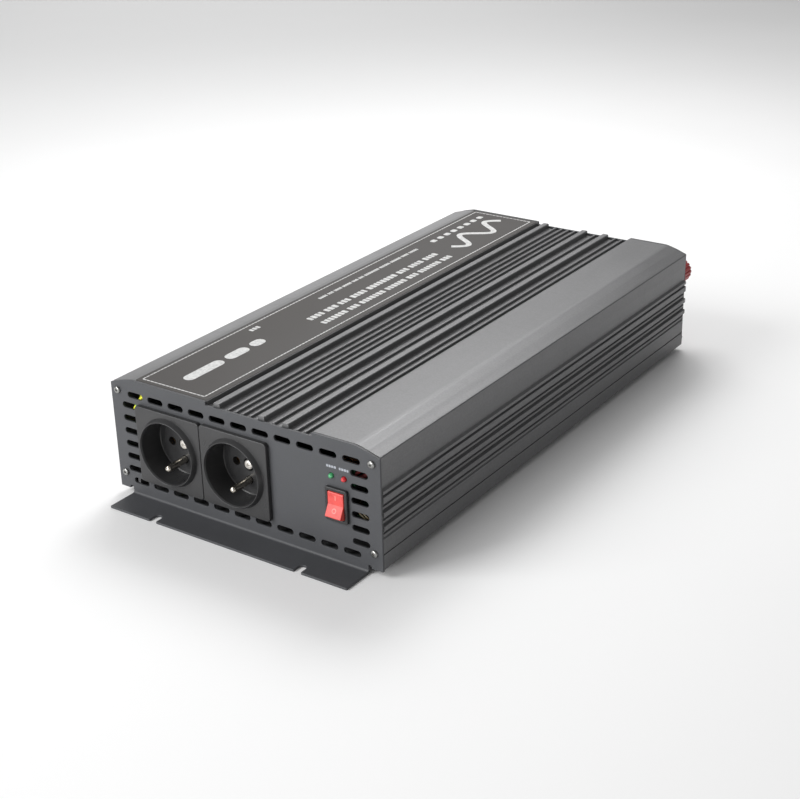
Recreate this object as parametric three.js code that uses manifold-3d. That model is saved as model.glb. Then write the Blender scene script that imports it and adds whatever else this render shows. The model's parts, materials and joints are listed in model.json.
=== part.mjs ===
// Power inverter: an extruded aluminium case between two bent steel end panels, with two earthed
// sockets, a rocker switch and two lamps at the front, and two fans and two screw terminals at
// the rear. Millimetres. +X is right as seen from the front, +Y runs to the rear, +Z is up.
// The origin is under the middle of the case, on the plane that the two foot flanges stand on.

import * as THREE from "three";
import { mergeVertices } from "three/addons/utils/BufferGeometryUtils.js";
import Module from "manifold-3d";

const wasm = await Module();
wasm.setup();

// ---------------------------------------------------------------- driving dimensions

const GAP = 0.3; // clearance between neighbouring pieces

// Case
const FRONT_HALF = 100; // half the width of the front panel
const REAR_HALF = 98.6; // the rear panel stops just short of the side walls' faces
const SIDE_X = 99.5; // smooth faces of the cover's side walls
const PANEL_Y = 194; // outer face of an end panel
const SHEET = 1.5; // end panel sheet
const COVER_END = PANEL_Y - SHEET; // the cover and the tray end on the panels
const TOP_Z = 79.3; // top of the flats and the tall ribs
const LABEL_THICK = 0.3;
const SHOULDER_Z = 74.6; // where the chamfers meet the side walls
const CHAMFER_RISE_X = 83; // where the chamfers meet the flats
const TRAY_BOTTOM = 4;
const TRAY_TOP = 14.1; // parting line
const PARTING_GROOVE = 0.6;
const INNER_X = 96.4; // inner face of the side walls
const CEILING_Z = 73.2;

// Rib field on the cover
const RIBS_LEFT = -24;
const RIBS_RIGHT = 53.5;
const RIB_FLOOR = 75.7;
const TALL_RIB = { width: 4.7, top: TOP_Z, round: 0.5 };
const THIN_RIB = { width: 1.8, top: 77.5, round: 0.4 };
const RIBS = [
  [-16.9, TALL_RIB], [-8.2, THIN_RIB], [-2.8, THIN_RIB], [2.6, THIN_RIB], [8, THIN_RIB],
  [16.25, TALL_RIB], [25.1, THIN_RIB], [33.75, TALL_RIB], [42, THIN_RIB], [47.6, THIN_RIB],
];

// Fins on the side walls: how far each stands out of the smooth face, and its height
const FIN_PITCH = 8.6;
const FIN_GROUPS = 3;
const FIN_TOP = 46.2; // top of the first wide groove
const FIN_OUT = 1.1;
const SLOPE = 0.5; // height of the slope between two levels

// End panels
const PANEL_RIB_EDGE = 77; // the panel's top edge is lower across the ribs
const TAB_INNER = 92; // the corner tabs run from here to the panel's side
const FLANGE_HALF = 89.8;
const RELIEF_Z = 6;
const FLANGE_OUT = 21;
const BEND_INNER = 1.5;
const NOTCH = { x: 55, width: 5.2, depth: 7.3 };
const SLOT = { length: 12, width: 4 };
const SLOT_ROW = { count: 11, pitch: 16.1, top: 69.3, bottom: 10.7, bottomShift: -1.5 };
const SLOT_COLUMN = { count: 6, pitch: 8.64, x: 85.5, z: 18.5 };
const CORNER = { x: 94.5, top: 70.6, bottom: 14.8 };
const CORNER_SCREW = { head: 2.4, rise: 1.6, shank: 1.4, hole: 1.6, length: 12 };
const BOSS_X = 91.4;

// Sockets, French pattern: two contact holes and a standing earth pin
const SOCKET = {
  xs: [-53.8, -3.1], z: 39.5, width: 50.4, height: 50.6, corner: 2, face: 3, collar: 3.2,
  collarRadius: 21.75, recess: 19.75, depth: 17.4, floor: 3, back: 22, backLength: 26, rounds: 28,
};
const CONTACT = { spacing: 9.5, hole: 2.75, inner: 2.5, outer: 3.2, length: 11 };
const EARTH_PIN = { drop: 10, radius: 2.4, hole: 2.6, collar: 3.6 };

// Rocker switch
const SWITCH = { x: 70.3, z: 39, width: 15.2, height: 21.2, face: 2.2 };
const SWITCH_BODY = { width: 12.6, height: 19.2, depth: 16 };
const ROCKER = { width: 10.8, radius: 8.7, centre: 2.2, back: 3.5, tilt: 14, pivotIn: 0.5 };

// Lamps
const LAMP = { xs: [66.5, 75.3], z: 56.2, radius: 1.5, flange: 1.9, hole: 1.75, out: 2 };

// Fans
const FAN = { xs: [-60, 4], z: 42.4, size: 60, depth: 15, duct: 28.5, hub: 14, hole: 25 };
const ROTOR = { blades: 7, tip: 27.6, hub: 14.4, shaft: 1.5, bearing: 1.65 };
const GUARD = { rings: [6, 11.5, 17, 22.5, 28], wire: 1.4, lift: 1.6, eye: 3.4 };

// Battery terminals
const TERMINAL = {
  xs: [86, 58], z: 54.5, base: 12, baseHigh: 4, boss: 7, stud: 4, seat: 8, seatHigh: 2,
  washer: 8, washerHigh: 1.2, cap: 9, capHigh: 13,
};
const EARTH_SCREW = { x: 66, z: 22, head: 5.5, high: 4.5, washer: 7.5 };

// Inside
const BOARD = { half: 88, front: -160, rear: 166, z: 12, thick: 1.6 };
const RAIL = { x: 85, width: 2 };
const CORE = {
  xs: [-34, 34], y: 30, width: 54, height: 42, depth: 25, leg: 7.3, window: 11.2, yoke: 7,
};
const CAPACITORS = { xs: [-24, 0, 24], y: 118, radius: 10, height: 40 };
const CHOKE = { x: 20, y: -95, inner: 8, outer: 17, height: 16 };
const TRANSISTOR = { ys: [-10, 80], width: 16, height: 21, thick: 5 };

// ---------------------------------------------------------------- finishes

const COVER = { color: 0x5c5d5f, roughness: 0.5, metalness: 0.7 };
const PANEL = { color: 0x5a5b5f, roughness: 0.6, metalness: 0.3 };
const LABEL = { color: 0x4c4a48, roughness: 0.7, metalness: 0 };
const BRIGHT = { color: 0xc8c9c6, roughness: 0.3, metalness: 1 };
const BRASS = { color: 0xb39350, roughness: 0.35, metalness: 1 };
const BLACK = { color: 0x2b2b2d, roughness: 0.55, metalness: 0 };
const RED = { color: 0xe0352c, roughness: 0.4, metalness: 0 };
const GREEN = { color: 0x2fa84a, roughness: 0.3, metalness: 0 };
const BOARD_GREEN = { color: 0x1f4a2c, roughness: 0.6, metalness: 0 };
const FERRITE = { color: 0x2a2a2c, roughness: 0.7, metalness: 0.1 };
const COPPER = { color: 0xa5622f, roughness: 0.4, metalness: 0.6 };
const CAN = { color: 0x1d2a4a, roughness: 0.4, metalness: 0 };
const EARTH_YELLOW = { color: 0xb4c232, roughness: 0.5, metalness: 0 };

// ---------------------------------------------------------------- solids

function solid(geometry) {
  const bare = geometry.clone();
  bare.deleteAttribute("normal");
  bare.deleteAttribute("uv");
  const merged = mergeVertices(bare, 1e-4);
  return new wasm.Manifold(
    new wasm.Mesh({
      numProp: 3,
      vertProperties: new Float32Array(merged.attributes.position.array),
      triVerts: new Uint32Array(merged.index.array),
    }),
  );
}

function geometryOf(shape) {
  const mesh = shape.getMesh();
  const geometry = new THREE.BufferGeometry();
  geometry.setAttribute("position", new THREE.BufferAttribute(mesh.vertProperties, 3));
  geometry.setIndex(new THREE.BufferAttribute(mesh.triVerts, 1));
  geometry.computeVertexNormals();
  return geometry;
}

function join(...geometries) {
  return geometryOf(geometries.map(solid).reduce((all, next) => all.add(next)));
}

function cut(base, ...tools) {
  return geometryOf(tools.map(solid).reduce((left, tool) => left.subtract(tool), solid(base)));
}

function box(x0, x1, y0, y1, z0, z1) {
  const geometry = new THREE.BoxGeometry(x1 - x0, y1 - y0, z1 - z0);
  return geometry.translate((x0 + x1) / 2, (y0 + y1) / 2, (z0 + z1) / 2);
}

// A round bar along Y
function rod(radius, y0, y1, x, z, sides = 16) {
  const geometry = new THREE.CylinderGeometry(radius, radius, Math.abs(y1 - y0), sides);
  return geometry.translate(x, (y0 + y1) / 2, z);
}

// A profile of [radius, y] points turned about a line along Y
function turned(profile, x, z, sides = 16) {
  const points = profile.map(([radius, y]) => new THREE.Vector2(radius, y));
  return new THREE.LatheGeometry(points, sides).translate(x, 0, z);
}

// The same about a line along Z
function turnedUp(profile, x, y, sides = 16) {
  const points = profile.map(([radius, z]) => new THREE.Vector2(radius, z));
  return new THREE.LatheGeometry(points, sides).rotateX(Math.PI / 2).translate(x, y, 0);
}

function ring(inner, outer, low, high) {
  return [[inner, low], [outer, low], [outer, high], [inner, high], [inner, low]];
}

function outline(points) {
  return new THREE.Shape(points.map(([u, v]) => new THREE.Vector2(u, v)));
}

function extruded(shape, depth) {
  return new THREE.ExtrudeGeometry(shape, { depth, bevelEnabled: false });
}

// A shape drawn in X and Z, extruded along Y
function alongY(shape, y0, y1) {
  return extruded(shape, y1 - y0).rotateX(Math.PI / 2).translate(0, y1, 0);
}

// A shape drawn in Y and Z, extruded along X
function alongX(shape, x0, x1) {
  const turn = new THREE.Matrix4().makeBasis(
    new THREE.Vector3(0, 1, 0),
    new THREE.Vector3(0, 0, 1),
    new THREE.Vector3(1, 0, 0),
  );
  return extruded(shape, x1 - x0).applyMatrix4(turn).translate(x0, 0, 0);
}

function arc(u, v, radius, from, to, steps) {
  const points = [];
  for (let i = 0; i <= steps; i++) {
    const angle = THREE.MathUtils.degToRad(from + ((to - from) * i) / steps);
    points.push([u + radius * Math.cos(angle), v + radius * Math.sin(angle)]);
  }
  return points;
}

function hole(points) {
  return new THREE.Path(points.map(([u, v]) => new THREE.Vector2(u, v)));
}

// A circle that starts at the top, like a turned piece or a rod with as many sides
function circle(u, v, radius, sides = 16) {
  return arc(u, v, radius, 90, 90 + 360 * (1 - 1 / sides), sides - 1);
}

function stadium(u, v, length, width) {
  const straight = (length - width) / 2;
  return [
    ...arc(u + straight, v, width / 2, -90, 90, 3),
    ...arc(u - straight, v, width / 2, 90, 270, 3),
  ];
}

function rectangle(u, v, width, height, corner = 0) {
  const a = width / 2 - corner;
  const b = height / 2 - corner;
  if (corner === 0) return [[u - a, v - b], [u + a, v - b], [u + a, v + b], [u - a, v + b]];
  return [
    ...arc(u + a, v - b, corner, -90, 0, 3),
    ...arc(u + a, v + b, corner, 0, 90, 3),
    ...arc(u - a, v + b, corner, 90, 180, 3),
    ...arc(u - a, v - b, corner, 180, 270, 3),
  ];
}

// A round lead along a smooth curve
function lead(radius, points, steps) {
  const path = new THREE.CatmullRomCurve3(points.map((p) => new THREE.Vector3(...p)));
  return new THREE.ExtrudeGeometry(outline(circle(0, 0, radius, 6)), { steps, extrudePath: path });
}

const inverter = new THREE.Group();

function part(name, geometry, finish) {
  const mesh = new THREE.Mesh(geometry, new THREE.MeshStandardMaterial(finish));
  mesh.name = name;
  inverter.add(mesh);
}

// ---------------------------------------------------------------- cover, tray and label

// The side wall's face from the shoulder down to the parting line, as [stand-out, height]
function sideFace() {
  const face = [
    [0, SHOULDER_Z], [-0.1, 66], [-0.7, 57], [-0.8, 55.4],
    [0.9, 54.4], [FIN_OUT, 52.5], [-0.6, 52], [-0.6, 51.2], [FIN_OUT, 50.7], [1, 46.8],
  ];
  for (let group = 0; group < FIN_GROUPS; group++) {
    const top = FIN_TOP - group * FIN_PITCH;
    face.push([-1.4, top], [-1.4, top - 1.6], [-0.2, top - 2.1], [-0.2, top - 3.4]);
    face.push([-1, top - 3.8], [-1, top - 4.4]);
    if (group < FIN_GROUPS - 1) {
      face.push([FIN_OUT, top - 5], [1, top - FIN_PITCH + SLOPE]);
    } else {
      face.push([0, top - 5]);
    }
  }
  return face;
}

// One rib of the field, from its right foot to its left foot
function rib(centre, { width, top, round }) {
  const half = width / 2;
  return [
    [centre + half, RIB_FLOOR], [centre + half, top - round], [centre + half - round, top],
    [centre - half + round, top], [centre - half, top - round], [centre - half, RIB_FLOOR],
  ];
}

// The chamfer bulges a little between the shoulder and the flat
function chamfer(side, flatZ) {
  return [
    [side * (SIDE_X - 0.5), SHOULDER_Z + 0.5],
    [side * (SIDE_X + CHAMFER_RISE_X) / 2, (SHOULDER_Z + flatZ) / 2 + 0.45],
    [side * (CHAMFER_RISE_X + 1.5), flatZ - 0.15],
    [side * (CHAMFER_RISE_X - 1), flatZ],
  ];
}

function coverTop() {
  const labelFlat = TOP_Z - LABEL_THICK;
  const ribs = [...RIBS].reverse().flatMap(([centre, kind]) => rib(centre, kind));
  return [
    ...chamfer(1, TOP_Z),
    [RIBS_RIGHT, TOP_Z], [RIBS_RIGHT, RIB_FLOOR],
    ...ribs,
    [RIBS_LEFT, RIB_FLOOR], [RIBS_LEFT, labelFlat],
    ...chamfer(-1, labelFlat).reverse(),
  ];
}

function coverInside() {
  const bossLow = CORNER.top - 3;
  const leg = SIDE_X - 1.2;
  const side = (s) => [
    [s * SIDE_X, TRAY_TOP + PARTING_GROOVE], [s * leg, TRAY_TOP + PARTING_GROOVE],
    [s * leg, TRAY_TOP], [s * INNER_X, TRAY_TOP],
    [s * INNER_X, bossLow], [s * BOSS_X, bossLow], [s * BOSS_X, CEILING_Z],
  ];
  return [...side(-1), ...side(1).reverse()];
}

function topShell() {
  const face = sideFace();
  const right = face.map(([out, z]) => [SIDE_X + out, z]).reverse();
  const left = face.map(([out, z]) => [-SIDE_X - out, z]);
  const shape = outline([...right, ...coverTop(), ...left, ...coverInside()]);
  for (const side of [-1, 1]) {
    shape.holes.push(hole(circle(side * CORNER.x, CORNER.top, CORNER_SCREW.hole, 10)));
  }
  return alongY(shape, -COVER_END, COVER_END);
}

function bottomTray() {
  const floorZ = TRAY_BOTTOM + 2.2;
  const bossOut = INNER_X - 0.2;
  const bossTop = CORNER.bottom + 3.2;
  const side = (s) => [
    [s * (SIDE_X - 0.8), TRAY_BOTTOM], [s * SIDE_X, TRAY_BOTTOM + 0.8], [s * SIDE_X, TRAY_TOP],
    [s * bossOut, TRAY_TOP], [s * bossOut, bossTop], [s * BOSS_X, bossTop],
    [s * BOSS_X, 11.6], [s * 95, 9], [s * 95, floorZ],
    [s * (RAIL.x + RAIL.width), floorZ], [s * (RAIL.x + RAIL.width), BOARD.z],
    [s * RAIL.x, BOARD.z], [s * RAIL.x, floorZ],
  ];
  const shape = outline([...side(1), ...side(-1).reverse()]);
  for (const end of [-1, 1]) {
    shape.holes.push(hole(circle(end * CORNER.x, CORNER.bottom, CORNER_SCREW.hole, 10)));
  }
  return alongY(shape, -COVER_END, COVER_END);
}

function labelPlate() {
  const shape = outline(rectangle(-52.75, 0, 56.5, 384, 1));
  return extruded(shape, LABEL_THICK).translate(0, 0, TOP_Z - LABEL_THICK);
}

// ---------------------------------------------------------------- end panels

function panelOutline(width) {
  const half = [
    [FLANGE_HALF, TRAY_BOTTOM - 1], [FLANGE_HALF, RELIEF_Z], [TAB_INNER, RELIEF_Z],
    [TAB_INNER, TRAY_BOTTOM], [width, TRAY_BOTTOM], [width, SHOULDER_Z],
    [(width + CHAMFER_RISE_X) / 2, (SHOULDER_Z + TOP_Z) / 2 + 0.4], [CHAMFER_RISE_X, TOP_Z],
  ];
  return outline([
    ...half,
    [RIBS_RIGHT, TOP_Z], [RIBS_RIGHT, PANEL_RIB_EDGE],
    [RIBS_LEFT, PANEL_RIB_EDGE], [RIBS_LEFT, TOP_Z],
    ...half.map(([x, z]) => [-x, z]).reverse(),
  ]);
}

// The foot flange with its bend, as a strip in Y and Z that overlaps the foot of the panel
function flange(end) {
  const bendY = PANEL_Y + BEND_INNER;
  const bendZ = BEND_INNER + SHEET;
  const strip = [
    [PANEL_Y + FLANGE_OUT, 0],
    ...arc(bendY, bendZ, BEND_INNER + SHEET, 270, 180, 4),
    [COVER_END, bendZ + 2], [PANEL_Y, bendZ + 2],
    ...arc(bendY, bendZ, BEND_INNER, 180, 270, 4),
    [PANEL_Y + FLANGE_OUT, SHEET],
  ];
  return alongX(outline(strip.map(([y, z]) => [end * y, z])), -FLANGE_HALF, FLANGE_HALF);
}

function notches(end) {
  const edge = PANEL_Y + FLANGE_OUT;
  const half = NOTCH.width / 2;
  const mouth = (edge - NOTCH.depth + half + edge + 1) / 2;
  const length = 2 * (edge + 1 - mouth);
  return [-NOTCH.x, NOTCH.x].flatMap((x) => [
    box(x - half, x + half, end * mouth - length / 2, end * mouth + length / 2, -1, SHEET + 1),
    new THREE.CylinderGeometry(half, half, SHEET + 2, 16)
      .rotateX(Math.PI / 2)
      .translate(x, end * (edge - NOTCH.depth + half), SHEET / 2),
  ]);
}

// A sheet panel with a bent foot; end is -1 at the front and 1 at the rear
function panel(end, width, openings) {
  const shape = panelOutline(width);
  shape.holes.push(...openings.map(hole));
  for (const x of [-CORNER.x, CORNER.x]) {
    for (const z of [CORNER.top, CORNER.bottom]) {
      shape.holes.push(hole(circle(x, z, CORNER_SCREW.hole, 10)));
    }
  }
  const faces = [end * PANEL_Y, end * COVER_END].sort((a, b) => a - b);
  return cut(join(alongY(shape, ...faces), flange(end)), ...notches(end));
}

function slotRow(z, shift = 0, keep = () => true) {
  const slots = [];
  for (let i = 0; i < SLOT_ROW.count; i++) {
    const x = (i - (SLOT_ROW.count - 1) / 2) * SLOT_ROW.pitch + shift;
    if (keep(x)) slots.push(stadium(x, z, SLOT.length, SLOT.width));
  }
  return slots;
}

function slotColumn(x) {
  const slots = [];
  for (let i = 0; i < SLOT_COLUMN.count; i++) {
    slots.push(stadium(x, SLOT_COLUMN.z + i * SLOT_COLUMN.pitch, SLOT.length, SLOT.width));
  }
  return slots;
}

function frontPanel() {
  return panel(-1, FRONT_HALF, [
    ...slotRow(SLOT_ROW.top), ...slotRow(SLOT_ROW.bottom, SLOT_ROW.bottomShift),
    ...slotColumn(-SLOT_COLUMN.x), ...slotColumn(SLOT_COLUMN.x),
    ...SOCKET.xs.map((x) => circle(x, SOCKET.z, SOCKET.back + GAP, SOCKET.rounds)),
    rectangle(SWITCH.x, SWITCH.z, SWITCH_BODY.width + 2 * GAP, SWITCH_BODY.height + 2 * GAP),
    ...LAMP.xs.map((x) => circle(x, LAMP.z, LAMP.hole, 12)),
  ]);
}

function rearPanel() {
  const screwHoles = FAN.xs.flatMap((x) =>
    [-1, 1].flatMap((u) => [-1, 1].map((v) => circle(x + u * FAN.hole, FAN.z + v * FAN.hole, 2, 8))),
  );
  return panel(1, REAR_HALF, [
    ...FAN.xs.map((x) => circle(x, FAN.z, FAN.duct, 24)),
    ...screwHoles,
    ...TERMINAL.xs.map((x) => circle(x, TERMINAL.z, TERMINAL.boss + GAP, 16)),
    circle(EARTH_SCREW.x, EARTH_SCREW.z, 2.6, 10),
    ...slotRow(SLOT_ROW.bottom, 0, (x) => (x > 40 && x < 50) || x > 78),
  ]);
}

// A pan-head screw with its shank, pointing into the case from the panel's outer face
function panelScrew(end, x, z) {
  const { head, rise, shank, length } = CORNER_SCREW;
  const face = PANEL_Y;
  const half = [
    [0, face - length], [shank, face - length], [shank, face], [head, face],
    [head, face + rise * 0.45], [head * 0.7, face + rise * 0.88], [0, face + rise],
  ];
  const profile = half.map(([radius, y]) => [radius, end * y]);
  return turned(end > 0 ? profile : profile.reverse(), x, z, 10);
}

// ---------------------------------------------------------------- sockets

const SOCKET_FACE = -PANEL_Y - SOCKET.face;
const COLLAR_FACE = SOCKET_FACE - SOCKET.collar;
const FLOOR_Y = COLLAR_FACE + SOCKET.depth;
const SOCKET_BACK = -PANEL_Y + SOCKET.backLength;

function socketHousing(x) {
  const { z, rounds } = SOCKET;
  const plate = outline(rectangle(x, z, SOCKET.width, SOCKET.height, SOCKET.corner));
  const body = join(
    alongY(plate, SOCKET_FACE, -PANEL_Y),
    rod(SOCKET.back, -PANEL_Y - 1, SOCKET_BACK, x, z, rounds),
    turned(
      [
        [0, COLLAR_FACE], [SOCKET.collarRadius - 0.6, COLLAR_FACE],
        [SOCKET.collarRadius, COLLAR_FACE + 0.6], [SOCKET.collarRadius, SOCKET_FACE + 1],
        [0, SOCKET_FACE + 1],
      ],
      x, z, rounds,
    ),
  );
  const recess = rod(SOCKET.recess, COLLAR_FACE - 1, FLOOR_Y, x, z, rounds);
  const rearHollow = rod(SOCKET.recess, FLOOR_Y + SOCKET.floor, SOCKET_BACK + 1, x, z, rounds);
  const through = (radius, dx, dz, sides) =>
    rod(radius, FLOOR_Y - 1, FLOOR_Y + SOCKET.floor + 1, x + dx, z + dz, sides);
  return cut(
    body, recess, rearHollow,
    through(CONTACT.hole, -CONTACT.spacing, 0, 14),
    through(CONTACT.hole, CONTACT.spacing, 0, 14),
    through(EARTH_PIN.hole, 0, -EARTH_PIN.drop, 14),
    through(1.8, 0, 0, 10),
  );
}

function earthPin(x) {
  const { radius, collar } = EARTH_PIN;
  const behind = FLOOR_Y + SOCKET.floor + GAP;
  const profile = [
    [0, COLLAR_FACE], [radius * 0.55, COLLAR_FACE + 0.4], [radius, COLLAR_FACE + 2],
    [radius, behind], [collar, behind], [collar, behind + 2.5], [0, behind + 2.5],
  ];
  return turned(profile, x, SOCKET.z - EARTH_PIN.drop, 14);
}

function socketScrew(x) {
  const seat = FLOOR_Y;
  const profile = [
    [0, seat - 1.6], [2, seat - 1.4], [3, seat - 0.6], [3, seat],
    [1.5, seat], [1.5, SOCKET_BACK - 4], [0, SOCKET_BACK - 4],
  ];
  return turned(profile, x, SOCKET.z, 12);
}

function contactSleeve(x) {
  const front = FLOOR_Y + SOCKET.floor + GAP;
  return turned(ring(CONTACT.inner, CONTACT.outer, front, front + CONTACT.length), x, SOCKET.z, 12);
}

// ---------------------------------------------------------------- switch and lamps

const PIVOT_Y = -PANEL_Y - ROCKER.pivotIn;

function switchHousing() {
  const { x, z } = SWITCH;
  const bezelFace = -PANEL_Y - SWITCH.face;
  const bodyBack = -PANEL_Y + SWITCH_BODY.depth;
  const bezel = alongY(
    outline(rectangle(x, z, SWITCH.width, SWITCH.height, 0.8)), bezelFace, -PANEL_Y,
  );
  const body = alongY(
    outline(rectangle(x, z, SWITCH_BODY.width, SWITCH_BODY.height)), -PANEL_Y - 1, bodyBack,
  );
  const halfWell = ROCKER.width / 2 + GAP;
  const wellRadius = ROCKER.radius + GAP;
  const well = new THREE.CylinderGeometry(wellRadius, wellRadius, 2 * halfWell, 24)
    .rotateZ(Math.PI / 2)
    .translate(x, PIVOT_Y, z);
  const mouth = box(
    x - halfWell, x + halfWell, bezelFace - 1, PIVOT_Y, z - wellRadius, z + wellRadius,
  );
  return cut(join(bezel, body), well, mouth);
}

// A shallow V in front, round ends about the pivot and a flat back, tipped so that the top
// half lies flush: the switch is on.
function rocker() {
  const { radius, centre, back, tilt, width } = ROCKER;
  const slope = Math.tan(THREE.MathUtils.degToRad(tilt));
  const a = 1 + slope * slope;
  const b = 2 * centre * slope;
  const tipZ = (-b + Math.sqrt(b * b - 4 * a * (centre * centre - radius * radius))) / (2 * a);
  const tipAngle = THREE.MathUtils.radToDeg(Math.acos((-centre - slope * tipZ) / radius));
  const backAngle = THREE.MathUtils.radToDeg(Math.acos(back / radius));
  const profile = [
    [-centre, 0],
    ...arc(0, 0, radius, tipAngle, backAngle, 7),
    ...arc(0, 0, radius, -backAngle, -tipAngle, 7),
  ];
  const half = width / 2;
  const geometry = alongX(outline(profile), -half, half);
  return geometry
    .rotateX(THREE.MathUtils.degToRad(-tilt))
    .translate(SWITCH.x, PIVOT_Y, SWITCH.z);
}

function lamp(x) {
  const tip = -PANEL_Y - LAMP.out;
  const flangeFront = -COVER_END + GAP;
  const base = flangeFront + 1.2;
  const profile = [
    [0, tip], [LAMP.radius * 0.5, tip + 0.2], [LAMP.radius * 0.87, tip + 0.75],
    [LAMP.radius, tip + 1.5], [LAMP.radius, flangeFront], [LAMP.flange, flangeFront],
    [LAMP.flange, base], [0, base],
  ];
  return turned(profile, x, LAMP.z, 12);
}

function lampBoard() {
  const front = -COVER_END + GAP + 1.2 + GAP;
  return box(62, 80, front, front + 1.6, 51.5, 62);
}

// ---------------------------------------------------------------- fans

const FAN_FRONT = COVER_END - FAN.depth;

function fanFrame(x) {
  const { size, z, duct, hub, hole: spread } = FAN;
  const rim = outline(rectangle(x, z, size, size, 4));
  rim.holes.push(hole(circle(x, z, duct, 24)));
  for (const u of [-1, 1]) {
    for (const v of [-1, 1]) rim.holes.push(hole(circle(x + u * spread, z + v * spread, 2, 8)));
  }
  const arms = [0, 90, 180, 270].map((angle) => {
    const reach = duct + 1;
    return new THREE.BoxGeometry(reach - 8, 1.8, 3)
      .translate((reach + 8) / 2, FAN_FRONT + 0.9, 0)
      .rotateY(THREE.MathUtils.degToRad(angle + 20))
      .translate(x, 0, z);
  });
  const motor = rod(hub, FAN_FRONT, FAN_FRONT + 1.8, x, z, 16);
  const bearing = rod(ROTOR.bearing, FAN_FRONT + 0.6, FAN_FRONT + 4, x, z, 16);
  return cut(join(alongY(rim, FAN_FRONT, COVER_END), motor, ...arms), bearing);
}

function fanRotor(x) {
  const { blades, tip, hub, shaft } = ROTOR;
  const low = FAN_FRONT + 2.4;
  const high = COVER_END - 1.4;
  const cup = rod(hub, low, high, 0, 0, 16);
  const pin = rod(shaft, FAN_FRONT + 0.9, low + 1, 0, 0, 16);
  const vanes = [];
  for (let i = 0; i < blades; i++) {
    vanes.push(
      new THREE.BoxGeometry(tip - hub + 2, 1.2, 13)
        .rotateX(THREE.MathUtils.degToRad(38))
        .translate((tip + hub) / 2 - 1, (low + high) / 2, 0)
        .rotateY((2 * Math.PI * i) / blades),
    );
  }
  return join(cup, pin, ...vanes).translate(x, 0, FAN.z);
}

// A flat finger guard of round wires with four eyes, on the outside of the rear panel
function fanGuard(x) {
  const { rings, wire, lift, eye } = GUARD;
  const low = PANEL_Y + lift;
  const high = low + wire;
  const hoops = rings.map((radius) =>
    turned(ring(radius - wire / 2, radius + wire / 2, low, high), x, FAN.z, 20),
  );
  const reach = FAN.hole * Math.SQRT2;
  const arms = [45, 135, 225, 315].flatMap((angle) => {
    const turn = THREE.MathUtils.degToRad(angle);
    const spoke = new THREE.BoxGeometry(reach, wire, wire)
      .translate(reach / 2, low + wire / 2, 0)
      .rotateY(turn)
      .translate(x, 0, FAN.z);
    const foot = rod(
      eye, PANEL_Y, high, x + reach * Math.cos(turn), FAN.z - reach * Math.sin(turn), 8,
    );
    return [spoke, foot];
  });
  return join(...hoops, ...arms);
}

// ---------------------------------------------------------------- rear terminals

const SEAT_Y = PANEL_Y + TERMINAL.baseHigh + TERMINAL.seatHigh;
const WASHER_Y = SEAT_Y + GAP;
const CAP_Y = WASHER_Y + TERMINAL.washerHigh + GAP;

function terminalBase(x) {
  const { base, baseHigh, boss, stud, z } = TERMINAL;
  const inside = COVER_END - 4;
  return turned(
    [
      [stud + GAP, inside], [boss, inside], [boss, PANEL_Y], [base, PANEL_Y],
      [base, PANEL_Y + baseHigh - 0.8], [base - 0.8, PANEL_Y + baseHigh],
      [stud + GAP, PANEL_Y + baseHigh], [stud + GAP, inside],
    ],
    x, z, 16,
  );
}

function terminalStud(x) {
  const { stud, seat, baseHigh, z } = TERMINAL;
  const top = CAP_Y + TERMINAL.capHigh - 3;
  return turned(
    [
      [0, COVER_END - 18], [stud, COVER_END - 18], [stud, PANEL_Y + baseHigh],
      [seat, PANEL_Y + baseHigh], [seat, SEAT_Y], [stud, SEAT_Y],
      [stud, top - 0.6], [stud - 0.6, top], [0, top],
    ],
    x, z, 16,
  );
}

function terminalWasher(x) {
  const { stud, washer, washerHigh, z } = TERMINAL;
  return turned(ring(stud + GAP, washer, WASHER_Y, WASHER_Y + washerHigh), x, z, 16);
}

function terminalCap(x) {
  const { stud, cap, capHigh, z } = TERMINAL;
  const end = CAP_Y + capHigh;
  const bore = end - 2.4;
  return turned(
    [
      [0, bore], [stud + GAP, bore], [stud + GAP, CAP_Y], [cap, CAP_Y],
      [cap, end - 1.5], [cap - 1.5, end], [0, end],
    ],
    x, z, 16,
  );
}

function earthScrew() {
  const { x, z, head, high, washer } = EARTH_SCREW;
  const seat = PANEL_Y + 1.2;
  return turned(
    [
      [0, COVER_END - 8], [2.4, COVER_END - 8], [2.4, PANEL_Y], [washer, PANEL_Y],
      [washer, seat], [head, seat], [head, seat + high], [0, seat + high],
    ],
    x, z, 12,
  );
}

// ---------------------------------------------------------------- inside

const BOARD_TOP = BOARD.z + BOARD.thick;

function mainBoard() {
  return box(-BOARD.half, BOARD.half, BOARD.front, BOARD.rear, BOARD.z, BOARD_TOP);
}

function transformerCore(x) {
  const { width, height, depth, leg, window, yoke, y } = CORE;
  const opening = (inner, outer) => box(
    inner, outer, y - depth, y + depth, BOARD_TOP + yoke, BOARD_TOP + height - yoke,
  );
  return cut(
    box(x - width / 2, x + width / 2, y - depth / 2, y + depth / 2, BOARD_TOP, BOARD_TOP + height),
    opening(x - leg - window, x - leg),
    opening(x + leg, x + leg + window),
  );
}

function transformerWinding(x) {
  const { height, depth, leg, window, yoke, y } = CORE;
  const reach = leg + window - GAP;
  const shape = outline(rectangle(x, y, 2 * reach, depth + 2 * window, 5));
  shape.holes.push(hole(rectangle(x, y, 2 * (leg + GAP), depth + 2 * GAP)));
  return extruded(shape, height - 2 * (yoke + GAP)).translate(0, 0, BOARD_TOP + yoke + GAP);
}

function capacitor(x) {
  const { radius, height, y } = CAPACITORS;
  const top = BOARD_TOP + height;
  return turnedUp(
    [[0, BOARD_TOP], [radius, BOARD_TOP], [radius, top - 1], [radius - 1, top], [0, top]],
    x, y, 16,
  );
}

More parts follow.
